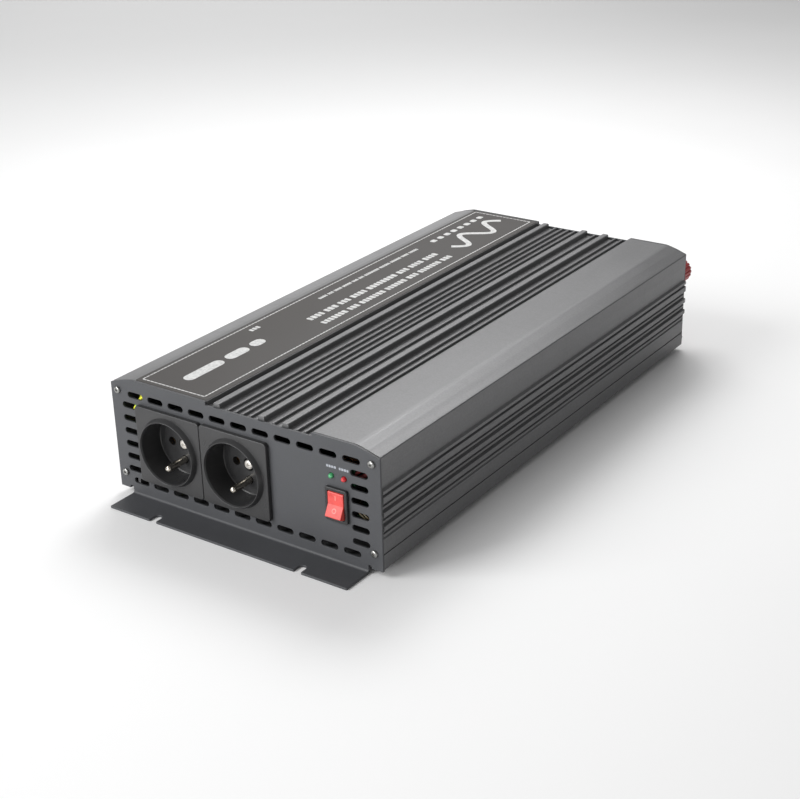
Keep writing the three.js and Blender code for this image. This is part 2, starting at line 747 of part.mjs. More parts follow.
function outputChoke() {
  const { x, y, inner, outer, height } = CHOKE;
  return turnedUp(ring(inner, outer, BOARD_TOP, BOARD_TOP + height), x, y, 20);
}

// A power transistor that stands on the board with its back on the cover's side wall
function transistor(side, y) {
  const { width, height, thick } = TRANSISTOR;
  const low = 19;
  const faces = [side * (INNER_X - thick), side * INNER_X].sort((a, b) => a - b);
  return box(...faces, y - width / 2, y + width / 2, low, low + height);
}

function earthWire() {
  return lead(1.3, [
    [-54.9, -166, 26], [-62, -160, 22], [-76, -165, 32], [-86.5, -180, 48], [-85.5, -186.5, 59],
    [-79.5, -187.5, 68.6], [-66, -182, 70.6], [-50, -165, 69], [-40, -140, 55], [-50, -120, 30],
    [-58, -112, BOARD_TOP + 1.5],
  ], 26);
}

function batteryLead(x, boardX) {
  return lead(3, [
    [x, COVER_END - 21.6, TERMINAL.z], [x, COVER_END - 32, TERMINAL.z - 2],
    [boardX + 2, COVER_END - 44, TERMINAL.z - 16], [boardX, COVER_END - 46, BOARD_TOP + 12],
    [boardX, COVER_END - 46, BOARD_TOP + GAP],
  ], 16);
}

// ---------------------------------------------------------------- assembly

const SIDES = ["left", "right"];

function addCase() {
  part("top_shell", topShell(), COVER);
  part("bottom_tray", bottomTray(), COVER);
  part("label_plate", labelPlate(), LABEL);
  part("front_panel", frontPanel(), PANEL);
  part("rear_panel", rearPanel(), PANEL);
  for (const [end, word] of [[-1, "front"], [1, "rear"]]) {
    let number = 1;
    for (const z of [CORNER.top, CORNER.bottom]) {
      for (const x of [-CORNER.x, CORNER.x]) {
        part(`${word}_screw_${number++}`, panelScrew(end, x, z), BRIGHT);
      }
    }
  }
}

function addSockets() {
  SOCKET.xs.forEach((x, i) => {
    const side = SIDES[i];
    part(`socket_${side}`, socketHousing(x), BLACK);
    part(`earth_pin_${side}`, earthPin(x), BRIGHT);
    part(`socket_screw_${side}`, socketScrew(x), BRIGHT);
    part(`contact_${side}_1`, contactSleeve(x - CONTACT.spacing), BRASS);
    part(`contact_${side}_2`, contactSleeve(x + CONTACT.spacing), BRASS);
  });
}

function addSwitchAndLamps() {
  part("switch_housing", switchHousing(), BLACK);
  part("switch_rocker", rocker(), RED);
  part("lamp_green", lamp(LAMP.xs[0]), GREEN);
  part("lamp_red", lamp(LAMP.xs[1]), RED);
  part("lamp_board", lampBoard(), BOARD_GREEN);
}

function addFans() {
  FAN.xs.forEach((x, i) => {
    part(`fan_frame_${SIDES[i]}`, fanFrame(x), BLACK);
    part(`fan_rotor_${SIDES[i]}`, fanRotor(x), BLACK);
    part(`fan_guard_${SIDES[i]}`, fanGuard(x), BRIGHT);
  });
}

function addTerminals() {
  [["positive", RED], ["negative", BLACK]].forEach(([pole, finish], i) => {
    const x = TERMINAL.xs[i];
    part(`${pole}_base`, terminalBase(x), finish);
    part(`${pole}_stud`, terminalStud(x), BRASS);
    part(`${pole}_washer`, terminalWasher(x), BRIGHT);
    part(`${pole}_cap`, terminalCap(x), finish);
    part(`${pole}_lead`, batteryLead(x, x - 8), finish);
  });
  part("earth_screw", earthScrew(), BRIGHT);
}

function addInside() {
  part("main_board", mainBoard(), BOARD_GREEN);
  CORE.xs.forEach((x, i) => {
    part(`transformer_core_${i + 1}`, transformerCore(x), FERRITE);
    part(`transformer_winding_${i + 1}`, transformerWinding(x), COPPER);
  });
  CAPACITORS.xs.forEach((x, i) => part(`capacitor_${i + 1}`, capacitor(x), CAN));
  part("output_choke", outputChoke(), COPPER);
  [-1, 1].forEach((side, s) => {
    TRANSISTOR.ys.forEach((y, i) => {
      part(`transistor_${SIDES[s]}_${i + 1}`, transistor(side, y), BLACK);
    });
  });
  part("earth_wire", earthWire(), EARTH_YELLOW);
}

addCase();
addSockets();
addSwitchAndLamps();
addFans();
addTerminals();
addInside();

export default inverter;
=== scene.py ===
import json
import math
import random

import bmesh
import bpy
from mathutils import Matrix, Vector
from mathutils.geometry import delaunay_2d_cdt


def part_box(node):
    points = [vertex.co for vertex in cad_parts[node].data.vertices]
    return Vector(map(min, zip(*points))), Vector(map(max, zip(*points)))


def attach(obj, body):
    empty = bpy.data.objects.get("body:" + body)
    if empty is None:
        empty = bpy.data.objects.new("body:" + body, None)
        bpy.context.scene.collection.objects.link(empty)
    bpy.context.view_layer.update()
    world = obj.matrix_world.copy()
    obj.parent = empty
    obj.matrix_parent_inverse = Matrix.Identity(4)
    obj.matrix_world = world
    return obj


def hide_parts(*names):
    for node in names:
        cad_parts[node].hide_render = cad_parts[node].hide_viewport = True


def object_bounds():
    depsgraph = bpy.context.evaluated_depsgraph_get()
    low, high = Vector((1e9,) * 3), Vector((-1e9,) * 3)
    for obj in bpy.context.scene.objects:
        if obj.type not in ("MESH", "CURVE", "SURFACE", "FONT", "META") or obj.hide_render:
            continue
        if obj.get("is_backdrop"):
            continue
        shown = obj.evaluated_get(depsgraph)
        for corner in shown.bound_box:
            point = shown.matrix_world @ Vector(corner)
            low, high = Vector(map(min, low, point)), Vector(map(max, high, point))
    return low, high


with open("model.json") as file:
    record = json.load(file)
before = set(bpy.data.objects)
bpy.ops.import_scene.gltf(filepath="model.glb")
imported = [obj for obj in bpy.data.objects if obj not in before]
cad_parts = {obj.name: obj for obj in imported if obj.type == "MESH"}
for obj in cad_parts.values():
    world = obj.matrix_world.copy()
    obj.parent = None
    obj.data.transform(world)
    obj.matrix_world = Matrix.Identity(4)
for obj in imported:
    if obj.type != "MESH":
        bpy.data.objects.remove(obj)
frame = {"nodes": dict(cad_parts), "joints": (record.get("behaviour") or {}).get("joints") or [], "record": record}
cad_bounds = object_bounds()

MM = 0.001
SHARP = 22  # degrees: a corner or edge that turns more than this is an edge, not a curve

# ---------- outlines, in metres


def arc(u, v, radius, start, end, steps):
    """Points on an arc about (u, v), with its angles in degrees."""
    angles = [math.radians(start + (end - start) * i / steps) for i in range(steps + 1)]
    return [(u + radius * math.cos(a), v + radius * math.sin(a)) for a in angles]


def circle(u, v, radius, sides=64):
    return arc(u, v, radius, 0, 360, sides)[:-1]


def tip(radius, end):
    """The profile of a round tip that reaches out to end, for a lathe."""
    angles = [math.radians(a) for a in range(0, 91, 10)]
    return [(radius * math.sin(a), end + radius - radius * math.cos(a)) for a in angles]


def stadium(u, v, length, width, steps=12):
    straight = (length - width) / 2
    right = arc(u + straight, v, width / 2, -90, 90, steps)
    return right + arc(u - straight, v, width / 2, 90, 270, steps)


def rectangle(u, v, width, height, corner=0.0, steps=6):
    a, b = width / 2 - corner, height / 2 - corner
    if not corner:
        return [(u - a, v - b), (u + a, v - b), (u + a, v + b), (u - a, v + b)]
    loop = []
    for su, sv, turn in ((1, -1, -90), (1, 1, 0), (-1, 1, 90), (-1, -1, 180)):
        loop += arc(u + su * a, v + sv * b, corner, turn, turn + 90, steps)
    return loop


def signed_area(loop):
    pairs = zip(loop, loop[1:] + loop[:1])
    return sum(a[0] * b[1] - b[0] * a[1] for a, b in pairs) / 2


def turn_at(before, here, after):
    """The turn at a corner, in degrees, positive to the left."""
    first = (here[0] - before[0], here[1] - before[1])
    second = (after[0] - here[0], after[1] - here[1])
    cross = first[0] * second[1] - first[1] * second[0]
    dot = first[0] * second[0] + first[1] * second[1]
    return math.degrees(math.atan2(cross, dot))


def straightened(loop, least=0.3):
    """The loop without the points that lie on a straight line."""
    count = len(loop)
    return [
        loop[i]
        for i in range(count)
        if abs(turn_at(loop[i - 1], loop[i], loop[(i + 1) % count])) > least
    ]


def filleted(loop, sharp_radius, soft_radius=12 * MM, steps=4):
    """Rounds each corner: a sharp one by a small radius, a gentle bend by a large one."""
    loop = straightened(loop)
    rounded = []
    for i, here in enumerate(loop):
        before, after = Vector(loop[i - 1]), Vector(loop[(i + 1) % len(loop)])
        here = Vector(here)
        turn = math.radians(turn_at(before, here, after))
        radius = sharp_radius if abs(turn) > math.radians(SHARP) else soft_radius
        back, ahead = before - here, after - here
        reach = radius * math.tan(abs(turn) / 2)
        reach = min(reach, 0.46 * back.length, 0.46 * ahead.length)
        start = here + back.normalized() * reach
        normal = Vector((back.y, -back.x)).normalized() * math.copysign(1, turn)
        centre = start + normal * reach / math.tan(abs(turn) / 2)
        for k in range(steps + 1):
            point = centre + Matrix.Rotation(turn * k / steps, 2) @ (start - centre)
            rounded.append((point.x, point.y))
    return rounded


def inset(loop, distance):
    """Moves the loop to its left by that distance."""
    if not distance:
        return list(loop)
    moved = []
    for i, here in enumerate(loop):
        first = (Vector(here) - Vector(loop[i - 1])).normalized()
        second = (Vector(loop[(i + 1) % len(loop)]) - Vector(here)).normalized()
        normal = Vector((-first.y - second.y, first.x + second.x)).normalized()
        stretch = max(0.5, normal.dot(Vector((-first.y, first.x))))
        moved.append(tuple(Vector(here) + normal * distance / stretch))
    return moved


def spaced(loop, least=0.004 * MM):
    """The loop without points that all but coincide."""
    kept = []
    for point in loop:
        if not kept or math.dist(point, kept[-1]) > least:
            kept.append(point)
    if math.dist(kept[0], kept[-1]) <= least:
        kept.pop()
    return kept


def contains(loop, u, v):
    inside = False
    for a, b in zip(loop, loop[1:] + loop[:1]):
        if (a[1] > v) != (b[1] > v) and u < a[0] + (v - a[1]) * (b[0] - a[0]) / (b[1] - a[1]):
            inside = not inside
    return inside


AXES = {"X": (1, 2, 0), "Y": (0, 2, 1), "Z": (0, 1, 2)}  # the outline's two axes, then its depth


def loops_at(node, axis, depth):
    """The outlines of a CAD node's flat face at that depth, the outer one first."""
    u, v, w = AXES[axis]
    mesh = frame["nodes"][node].data
    key = [(round(p.co[u], 7), round(p.co[v], 7)) for p in mesh.vertices]
    flat = [abs(p.co[w] - depth) < 2e-6 for p in mesh.vertices]
    edges = set()
    for face in mesh.polygons:
        if all(flat[i] for i in face.vertices):
            corners = [key[i] for i in face.vertices]
            edges.update(zip(corners, corners[1:] + corners[:1]))
    ahead = {a: b for a, b in edges if (b, a) not in edges}
    loops = []
    while ahead:
        start, here = ahead.popitem()
        loop = [start]
        while here != start:
            loop.append(here)
            here = ahead.pop(here)
        loops.append(loop)
    return sorted(loops, key=lambda each: -abs(signed_area(each)))


# ---------- meshes


def new_object(name, bm):
    bmesh.ops.recalc_face_normals(bm, faces=bm.faces)
    mesh = bpy.data.meshes.new(name)
    bm.to_mesh(mesh)
    bm.free()
    obj = bpy.data.objects.new(name, mesh)
    bpy.context.scene.collection.objects.link(obj)
    return obj


def cap_triangles(loops):
    """Triangles between an outer loop and its holes, as indices into the loops in a row."""
    points, edges = [], []
    for loop in loops:
        first = len(points)
        points += [Vector(p) for p in loop]
        edges += [(first + i, first + (i + 1) % len(loop)) for i in range(len(loop))]
    places, _, faces, origins, _, _ = delaunay_2d_cdt(points, edges, [], 0, 1e-9)
    for face in faces:
        centre = sum((places[i] for i in face), Vector((0, 0))) / len(face)
        if contains(loops[0], *centre) and not any(contains(h, *centre) for h in loops[1:]):
            yield [origins[i][0] for i in face]


def prism_mesh(loops, low, high, axis, edge, steps=3):
    """A solid between low and high along the axis, with each edge rounded by that much."""
    u, v, w = AXES[axis]
    loops = [
        loop if (signed_area(loop) > 0) == (n == 0) else loop[::-1] for n, loop in enumerate(loops)
    ]
    loops = [spaced(loop) for loop in loops]
    quarter = [math.radians(90 * i / steps) for i in range(steps + 1)] if edge else [0]
    rise = [(edge * (1 - math.sin(a)), edge * (1 - math.cos(a))) for a in quarter]
    levels = [(out, low + up) for out, up in rise]
    levels += [(out, high - up) for out, up in reversed(rise)]
    bm = bmesh.new()
    rows = []
    for out, depth in levels:
        row = []
        for loop in loops:
            ring = []
            for point in inset(loop, out):
                place = [0.0, 0.0, 0.0]
                place[u], place[v], place[w] = point[0], point[1], depth
                ring.append(bm.verts.new(place))
            row.append(ring)
        rows.append(row)
    for lower, upper in zip(rows, rows[1:]):
        for a, b in zip(lower, upper):
            for i in range(len(a)):
                j = (i + 1) % len(a)
                bm.faces.new((a[i], a[j], b[j], b[i]))
    triangles = list(cap_triangles([inset(loop, levels[0][0]) for loop in loops]))
    for row in (rows[0], rows[-1]):
        verts = [vert for ring in row for vert in ring]
        for triangle in triangles:
            bm.faces.new([verts[i] for i in triangle])
    return bm


def prism(name, loops, low, high, axis="Y", edge=0.0, steps=3):
    return new_object(name, prism_mesh(loops, low, high, axis, edge, steps))


def lathe(name, profile, x, z, sides=96, grip=None):
    """Turns (radius, y) points about a line along Y. Grip gives each point's radius by its angle."""
    bm = bmesh.new()
    rings = []
    for radius, y in profile:
        if radius < 1e-6:
            rings.append([bm.verts.new((x, y, z))])
            continue
        ring = []
        for i in range(sides):
            angle = 2 * math.pi * i / sides
            r = grip(radius, y, angle) if grip else radius
            ring.append(bm.verts.new((x + r * math.sin(angle), y, z + r * math.cos(angle))))
        rings.append(ring)
    closed = profile[0][0] > 1e-6
    if closed:
        rings.append(rings[0])
    for a, b in zip(rings, rings[1:]):
        for i in range(sides):
            j = (i + 1) % sides
            corners = [a[i % len(a)], a[j % len(a)], b[j % len(b)], b[i % len(b)]]
            corners = list(dict.fromkeys(corners))
            if len(corners) > 2:
                bm.faces.new(corners)
    return new_object(name, bm)


def tube(name, points, radius, closed=False, sides=10):
    """A round wire along the points."""
    bm = bmesh.new()
    places = [Vector(p) for p in points]
    count = len(places)
    rings = []
    side = None
    for i, here in enumerate(places):
        before = places[i - 1] if closed or i else here
        after = places[(i + 1) % count] if closed or i < count - 1 else here
        ahead = (after - before).normalized()
        if side is None:
            side = ahead.orthogonal().normalized()
        side = (side - ahead * side.dot(ahead)).normalized()
        up = ahead.cross(side)
        angles = [2 * math.pi * k / sides for k in range(sides)]
        rings.append([
            bm.verts.new(here + (side * math.cos(a) + up * math.sin(a)) * radius) for a in angles
        ])
    pairs = list(zip(rings, rings[1:]))
    if closed:
        pairs.append((rings[-1], nearest_turn(rings[0], rings[-1])))
    for a, b in pairs:
        for k in range(sides):
            m = (k + 1) % sides
            bm.faces.new((a[k], a[m], b[m], b[k]))
    if not closed:
        bm.faces.new(rings[0])
        bm.faces.new(rings[-1])
    return new_object(name, bm)


def nearest_turn(ring, other):
    """The ring, started at the point that lies nearest to the other ring's first."""
    start = min(range(len(ring)), key=lambda k: (ring[k].co - other[0].co).length)
    return ring[start:] + ring[:start]


def through_points(points, steps=10):
    """A smooth line through the points."""
    spots = [Vector(p) for p in points]
    spots = [spots[0] * 2 - spots[1], *spots, spots[-1] * 2 - spots[-2]]
    line = []
    for a, b, c, d in zip(spots, spots[1:], spots[2:], spots[3:]):
        for k in range(steps):
            t = k / steps
            line.append(0.5 * (2 * b + (c - a) * t + (2 * a - 5 * b + 4 * c - d) * t**2
                               + (3 * b - a - 3 * c + d) * t**3))
    return [*line, spots[-2]]


def baked(obj):
    """Replaces the object's mesh with what its modifiers make of it."""
    graph = bpy.context.evaluated_depsgraph_get()
    mesh = bpy.data.meshes.new_from_object(obj.evaluated_get(graph))
    obj.modifiers.clear()
    obj.data = mesh
    return obj


def combine(obj, tools, operation):
    for tool in tools:
        step = obj.modifiers.new(operation, "BOOLEAN")
        step.operation = operation
        step.solver = "EXACT"
        step.object = tool
    bpy.context.view_layer.update()
    baked(obj)
    for tool in tools:
        bpy.data.objects.remove(tool)
    return obj


def merged(name, objects):
    """One object that holds the meshes of several."""
    bm = bmesh.new()
    for obj in objects:
        bm.from_mesh(obj.data)
        bpy.data.objects.remove(obj)
    return new_object(name, bm)


def smooth(obj, angle=SHARP):
    for face in obj.data.polygons:
        face.use_smooth = True
    obj.data.set_sharp_from_angle(angle=math.radians(angle))
    even = obj.modifiers.new("even_normals", "WEIGHTED_NORMAL")
    even.keep_sharp = True
    return obj


# ---------- materials


class Shader:
    """A node material with a few named steps."""

    def __init__(self, name):
        self.material = bpy.data.materials.new(name)
        self.material.use_nodes = True
        self.tree = self.material.node_tree
        self.principled = self.tree.nodes["Principled BSDF"]
        self.place = self.tree.nodes.new("ShaderNodeTexCoord").outputs["Object"]

    def set(self, **values):
        for name, value in values.items():
            label = name.replace("_", " ").title().replace("Ior", "IOR")
            self.principled.inputs[label].default_value = value

    def link(self, source, target):
        self.tree.links.new(source, target)

    def scaled(self, scale):
        node = self.tree.nodes.new("ShaderNodeMapping")
        node.inputs["Scale"].default_value = scale
        self.link(self.place, node.inputs["Vector"])
        return node.outputs["Vector"]

    def noise(self, scale, detail=4.0, roughness=0.55):
        """Cloudy noise from 0 to 1, with so many features per metre: one number, or one per axis."""
        scale = scale if isinstance(scale, tuple) else (scale, scale, scale)
        node = self.tree.nodes.new("ShaderNodeTexNoise")
        node.inputs["Scale"].default_value = 1.0
        node.inputs["Detail"].default_value = detail
        node.inputs["Roughness"].default_value = roughness
        self.link(self.scaled(scale), node.inputs["Vector"])
        return node.outputs["Fac"]

    def spread(self, value, low, high, start=0.3, end=0.7):
        """Maps the value's middle range onto low to high."""
        node = self.tree.nodes.new("ShaderNodeMapRange")
        for name, number in (("From Min", start), ("From Max", end), ("To Min", low), ("To Max", high)):
            node.inputs[name].default_value = number
        self.link(value, node.inputs["Value"])
        return node.outputs["Result"]

    def total(self, first, *others):
        """The sum of the outputs."""
        for other in others:
            node = self.tree.nodes.new("ShaderNodeMath")
            self.link(first, node.inputs[0])
            self.link(other, node.inputs[1])
            first = node.outputs["Value"]
        return first

    def mixed(self, share, first, second):
        """A colour between two colours."""
        node = self.tree.nodes.new("ShaderNodeMix")
        node.data_type = "RGBA"
        self.link(share, node.inputs["Factor"])
        for socket, value in ((node.inputs[6], first), (node.inputs[7], second)):
            if isinstance(value, tuple):
                socket.default_value = (*value, 1)
            else:
                self.link(value, socket)
        return node.outputs[2]

    def colour(self, output):
        self.link(output, self.principled.inputs["Base Color"])

    def varied(self, share, colour, darker, lighter):
        """A base colour that wanders between a darker and a lighter tint of one colour."""
        self.colour(self.mixed(share, tinted(colour, darker), tinted(colour, lighter)))

    def rough(self, *parts):
        self.link(self.total(*parts), self.principled.inputs["Roughness"])

    def bands(self, direction, scale, distortion):
        """Wavy stripes from 0 to 1."""
        node = self.tree.nodes.new("ShaderNodeTexWave")
        node.bands_direction = direction
        node.inputs["Scale"].default_value = scale
        node.inputs["Distortion"].default_value = distortion
        self.link(self.place, node.inputs["Vector"])
        return node.outputs["Fac"]

    def bump(self, heights):
        """Bumps from (height output, depth in metres) pairs."""
        normal = None
        for height, depth in heights:
            node = self.tree.nodes.new("ShaderNodeBump")
            node.inputs["Strength"].default_value = 1.0
            node.inputs["Distance"].default_value = depth
            self.link(height, node.inputs["Height"])
            if normal is not None:
                self.link(normal, node.inputs["Normal"])
            normal = node.outputs["Normal"]
        self.link(normal, self.principled.inputs["Normal"])


def tinted(colour, factor):
    return tuple(min(1.0, c * factor) for c in colour)


def moulded(name, colour, roughness=0.45, grain=2200, depth=8e-6, vary=0.12):
    """Moulded plastic, paint or rubber: a fine grain, faint clouds and uneven gloss."""
    s = Shader(name)
    clouds = s.noise(60, 3)
    fine = s.noise((grain, grain, grain), 2)
    s.varied(s.spread(clouds, 0, 1), colour, 1 - vary, 1 + vary)
    s.rough(s.spread(fine, -0.05, 0.05), s.spread(clouds, roughness - 0.05, roughness + 0.05))
    s.bump([(fine, depth)])
    return s.material


def plated(name, colour, roughness=0.25, metallic=1.0, scratches=2400, depth=4e-6):
    """Plated or bare metal: faint scratches and smudges."""
    s = Shader(name)
    s.set(metallic=metallic)
    smudge = s.noise(150, 4)
    scratch = s.noise(scratches, 3)
    s.varied(s.spread(smudge, 0, 1), colour, 0.86, 1.05)
    s.rough(s.spread(smudge, roughness - 0.06, roughness + 0.1), s.spread(scratch, -0.05, 0.05))
    s.bump([(scratch, depth)])
    return s.material


def extruded_metal():
    """Grey anodised extrusion: die lines along Y, a satin grain and faint handling marks."""
    s = Shader("cover_metal")
    base = (0.13, 0.13, 0.133)
    s.set(metallic=0.25, specular_ior_level=0.5)
    lines = s.noise((1300, 5, 1300), 5, 0.6)
    broad = s.noise((120, 2.5, 120), 3)
    clouds = s.noise((22, 9, 22), 4)
    grain = s.noise(2600, 2)
    marks = s.noise((35, 160, 35), 6, 0.7)
    speckle = s.noise((950, 700, 950), 2)
    tone = s.total(
        s.spread(lines, -0.35, 0.35), s.spread(clouds, 0.2, 0.8), s.spread(broad, -0.15, 0.15),
        s.spread(speckle, -0.45, 0.45),
    )
    s.varied(tone, base, 0.9, 1.1)
    worn = s.spread(marks, 0.0, 0.06, 0.55, 0.7)
    s.rough(s.spread(lines, -0.05, 0.05), s.spread(clouds, 0.34, 0.42), worn)
    s.bump([(lines, 1.2e-5), (speckle, 1.6e-5), (grain, 9e-6)])
    return s.material


def powder_coat():
    """Grey powder coat on steel sheet: a close orange-peel and small specks."""
    s = Shader("panel_paint")
    base = (0.063, 0.065, 0.07)
    s.set(metallic=0.0, specular_ior_level=0.36)
    peel = s.noise(1100, 3)
    fine = s.noise(3800, 2)
    clouds = s.noise(18, 4)
    specks = s.noise(2300, 1)
    tone = s.total(s.spread(clouds, 0.15, 0.85), s.spread(specks, -0.4, 0.4, 0.2, 0.8))
    s.varied(tone, base, 0.9, 1.12)
    s.rough(s.spread(clouds, 0.44, 0.54), s.spread(fine, -0.06, 0.06))
    s.bump([(peel, 3e-5), (fine, 9e-6)])
    return s.material


def label_film():
    """Matte printed film, a little uneven where it lies on the metal."""
    s = Shader("label_film")
    base = (0.052, 0.047, 0.044)
    s.set(specular_ior_level=0.25)
    clouds = s.noise((14, 5, 14), 4)
    fine = s.noise(2600, 2)
    wave = s.noise((30, 12, 30), 2)
    s.varied(s.spread(clouds, 0, 1), base, 0.92, 1.08)
    s.rough(s.spread(clouds, 0.5, 0.58), s.spread(fine, -0.04, 0.04))
    s.bump([(wave, 6e-5), (fine, 6e-6)])
    return s.material


def print_ink(name, thin, full):
    """Screen-printed ink with slightly thin patches."""
    s = Shader(name)
    patches = s.noise(500, 5, 0.7)
    s.colour(s.mixed(s.spread(patches, 0, 1, 0.3, 0.6), thin, full))
    s.rough(s.spread(patches, 0.45, 0.6))
    s.bump([(patches, 5e-6)])
    return s.material


def circuit_board():
    """Solder-masked laminate with faint copper runs under the mask."""
    s = Shader("circuit_board")
    cells = s.tree.nodes.new("ShaderNodeTexVoronoi")
    cells.distance = "CHEBYCHEV"
    cells.inputs["Scale"].default_value = 1.0
    s.link(s.scaled((170, 90, 90)), cells.inputs["Vector"])
    runs = s.spread(cells.outputs["Distance"], 0, 1, 0.25, 0.3)
    clouds = s.noise(50, 3)
    board = s.mixed(s.spread(clouds, 0, 1), (0.008, 0.04, 0.018), (0.011, 0.055, 0.024))
    s.colour(s.mixed(runs, board, (0.016, 0.085, 0.036)))
    s.rough(s.spread(clouds, 0.35, 0.5))
    s.bump([(runs, 3e-5)])
    return s.material


def wound_copper():
    """Enamelled wire wound side by side under varnish, with painted shade in the grooves between the turns."""
    s = Shader("winding")
    s.set(metallic=0.6)
    turns_and_painted_shade = s.bands("Z", 150, 0.4)
    # painted shade: the colour darkens from the crest of each turn into the groove beside it
    s.colour(s.mixed(turns_and_painted_shade, (0.16, 0.06, 0.02), (0.55, 0.24, 0.09)))
    s.rough(s.spread(s.noise(300), 0.3, 0.45))
    s.bump([(turns_and_painted_shade, 2.5e-4)])
    return s.material


def earth_insulation():
    """Green insulation with a yellow stripe that winds along the wire."""
    s = Shader("earth_wire")
    side = s.spread(s.bands("DIAGONAL", 42, 1.0), 0, 1, 0.45, 0.55)
    s.colour(s.mixed(side, (0.06, 0.35, 0.06), (0.8, 0.8, 0.05)))
    s.rough(s.spread(s.noise(900), 0.35, 0.45))
    s.bump([(s.noise(1500), 8e-6)])
    return s.material


def red_rocker():
    """Translucent red plastic with a soft gloss."""
    s = Shader("rocker_red")
    s.set(coat_weight=0.25, coat_roughness=0.25, subsurface_weight=0.35, subsurface_scale=0.002)
    clouds = s.noise(180, 3)
    fine = s.noise(2400, 2)
    s.colour(s.mixed(s.spread(clouds, 0, 1), (0.62, 0.06, 0.052), (0.74, 0.085, 0.07)))
    s.rough(s.spread(clouds, 0.28, 0.38), s.spread(fine, -0.04, 0.04))
    s.bump([(fine, 5e-6)])
    return s.material


def lens(name, colour):
    """A tinted lamp lens with a bright, slightly clouded core."""
    s = Shader(name)
    s.set(coat_weight=0.6, coat_roughness=0.05, transmission_weight=0.25, ior=1.5)
    clouds = s.noise(700, 2)
    s.varied(s.spread(clouds, 0, 1), colour, 0.75, 1.1)
    s.rough(s.spread(clouds, 0.12, 0.22))
    s.bump([(clouds, 1e-5)])
    return s.material


def pale_floor():
    s = Shader("floor")
    clouds = s.noise(3, 3)
    s.colour(s.mixed(s.spread(clouds, 0, 1), (0.92, 0.92, 0.92), (0.94, 0.94, 0.94)))
    s.rough(s.spread(clouds, 0.6, 0.7))
    return s.material


# colour, roughness, grain per metre, depth of the grain in metres and how far the colour varies
MOULDED = {
    "socket_plastic": ((0.03, 0.03, 0.031), 0.33, 2400, 1.0e-5),
    "switch_plastic": ((0.022, 0.022, 0.023), 0.3, 2600, 7e-6),
    "fan_plastic": ((0.022, 0.022, 0.023), 0.5, 1800, 1e-5),
    "terminal_red": ((0.33, 0.014, 0.014), 0.35, 1800, 1e-5),
    "terminal_black": ((0.03, 0.03, 0.03), 0.38, 1800, 1e-5),
    "lead_red": ((0.16, 0.012, 0.011), 0.45),
    "lead_black": ((0.02, 0.02, 0.02), 0.45),
    "lead_tan": ((0.13, 0.1, 0.055), 0.45),
    "ferrite": ((0.035, 0.035, 0.037), 0.55, 1200, 2e-5, 0.25),
    "capacitor_sleeve": ((0.02, 0.03, 0.09), 0.3),
    "transistor_epoxy": ((0.02, 0.02, 0.02), 0.5),
}

# colour, roughness, metallic, scratches per metre (one number, or one per axis) and depth in metres
PLATED = {
    "screw_steel": ((0.34, 0.34, 0.33), 0.3),
    "bright_steel": ((0.8, 0.79, 0.76), 0.2),
    "pin_metal": ((0.62, 0.58, 0.51), 0.17, 1.0, (720, 72, 720), 4e-7),
    "screw_nickel": ((0.8, 0.77, 0.72), 0.36, 0.5),
    "contact_brass": ((0.75, 0.55, 0.25), 0.3),
    "guard_wire": ((0.5, 0.5, 0.5), 0.3),
}

# colour where the ink is thin and where it is full
INKS = {
    "print_ink": ((0.42, 0.42, 0.42), (0.68, 0.68, 0.67)),
    "panel_ink": ((0.2, 0.22, 0.25), (0.4, 0.42, 0.46)),
    "rocker_ink": ((0.75, 0.2, 0.18), (0.8, 0.3, 0.27)),
}

FINISHES = {
    "cover_metal": extruded_metal(),
    "panel_paint": powder_coat(),
    "label_film": label_film(),
    "rocker_red": red_rocker(),
    "lamp_green": lens("lamp_green", (0.1, 0.55, 0.22)),
    "lamp_red": lens("lamp_red", (0.85, 0.03, 0.04)),
    "circuit_board": circuit_board(),
    "winding": wound_copper(),
    "earth_wire": earth_insulation(),
}
for make, table in ((moulded, MOULDED), (plated, PLATED), (print_ink, INKS)):
    FINISHES.update({name: make(name, *values) for name, values in table.items()})

BODY_OF = {n: body for body, nodes in frame["record"]["behaviour"]["bodies"].items() for n in nodes}
SLOT_OF = {s["node"]: s["material_slot"] for s in frame["record"]["subparts"]}


def painted(obj, finish):
    obj.data.materials.clear()
    obj.data.materials.append(FINISHES[finish])
    return obj


redrawn_nodes = set()


def stands_for(obj, node, angle=SHARP, finish=None):
    """A finished piece in the place of one CAD node."""
    redrawn_nodes.add(node)
    smooth(painted(obj, finish or SLOT_OF[node]), angle)
    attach(obj, BODY_OF[node])
    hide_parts(node)
    return obj


def detail(obj, finish, body="chassis", slot=None, angle=SHARP):
    """A small piece of its own that rides on a body."""
    smooth(painted(obj, finish), angle)
    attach(obj, body)
    return obj


def kept(node):
    """A CAD node that stays, with rounded edges and its finish."""
    obj = painted(frame["nodes"][node], SLOT_OF[node])
    flat = obj.modifiers.new("flat_faces", "DECIMATE")
    flat.decimate_type = "DISSOLVE"
    flat.angle_limit = math.radians(1)
    rounding = obj.modifiers.new("rounded_edges", "BEVEL")
    rounding.width = 0.2 * MM
    rounding.segments = 2
    rounding.limit_method = "ANGLE"
    rounding.angle_limit = math.radians(35)
    smooth(obj, 40)


# ---------- places from the frame

SHEET = 1.5 * MM  # end panel sheet
COVER_LOW, COVER_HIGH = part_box("top_shell")
FRONT = COVER_LOW.y - SHEET  # outer face of the front panel
REAR = COVER_HIGH.y + SHEET
PANEL_LOW, PANEL_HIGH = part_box("front_panel")
PIVOT = Vector(next(j["pos_m"] for j in frame["joints"] if j["name"] == "rocker_tilt"))


def box_and_middle(node):
    low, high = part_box(node)
    return low, high, (low + high) / 2


def middle(node):
    return box_and_middle(node)[2]


# ---------- case

SHADOW_GAP = 0.35 * MM  # the dark line between the case and each end panel


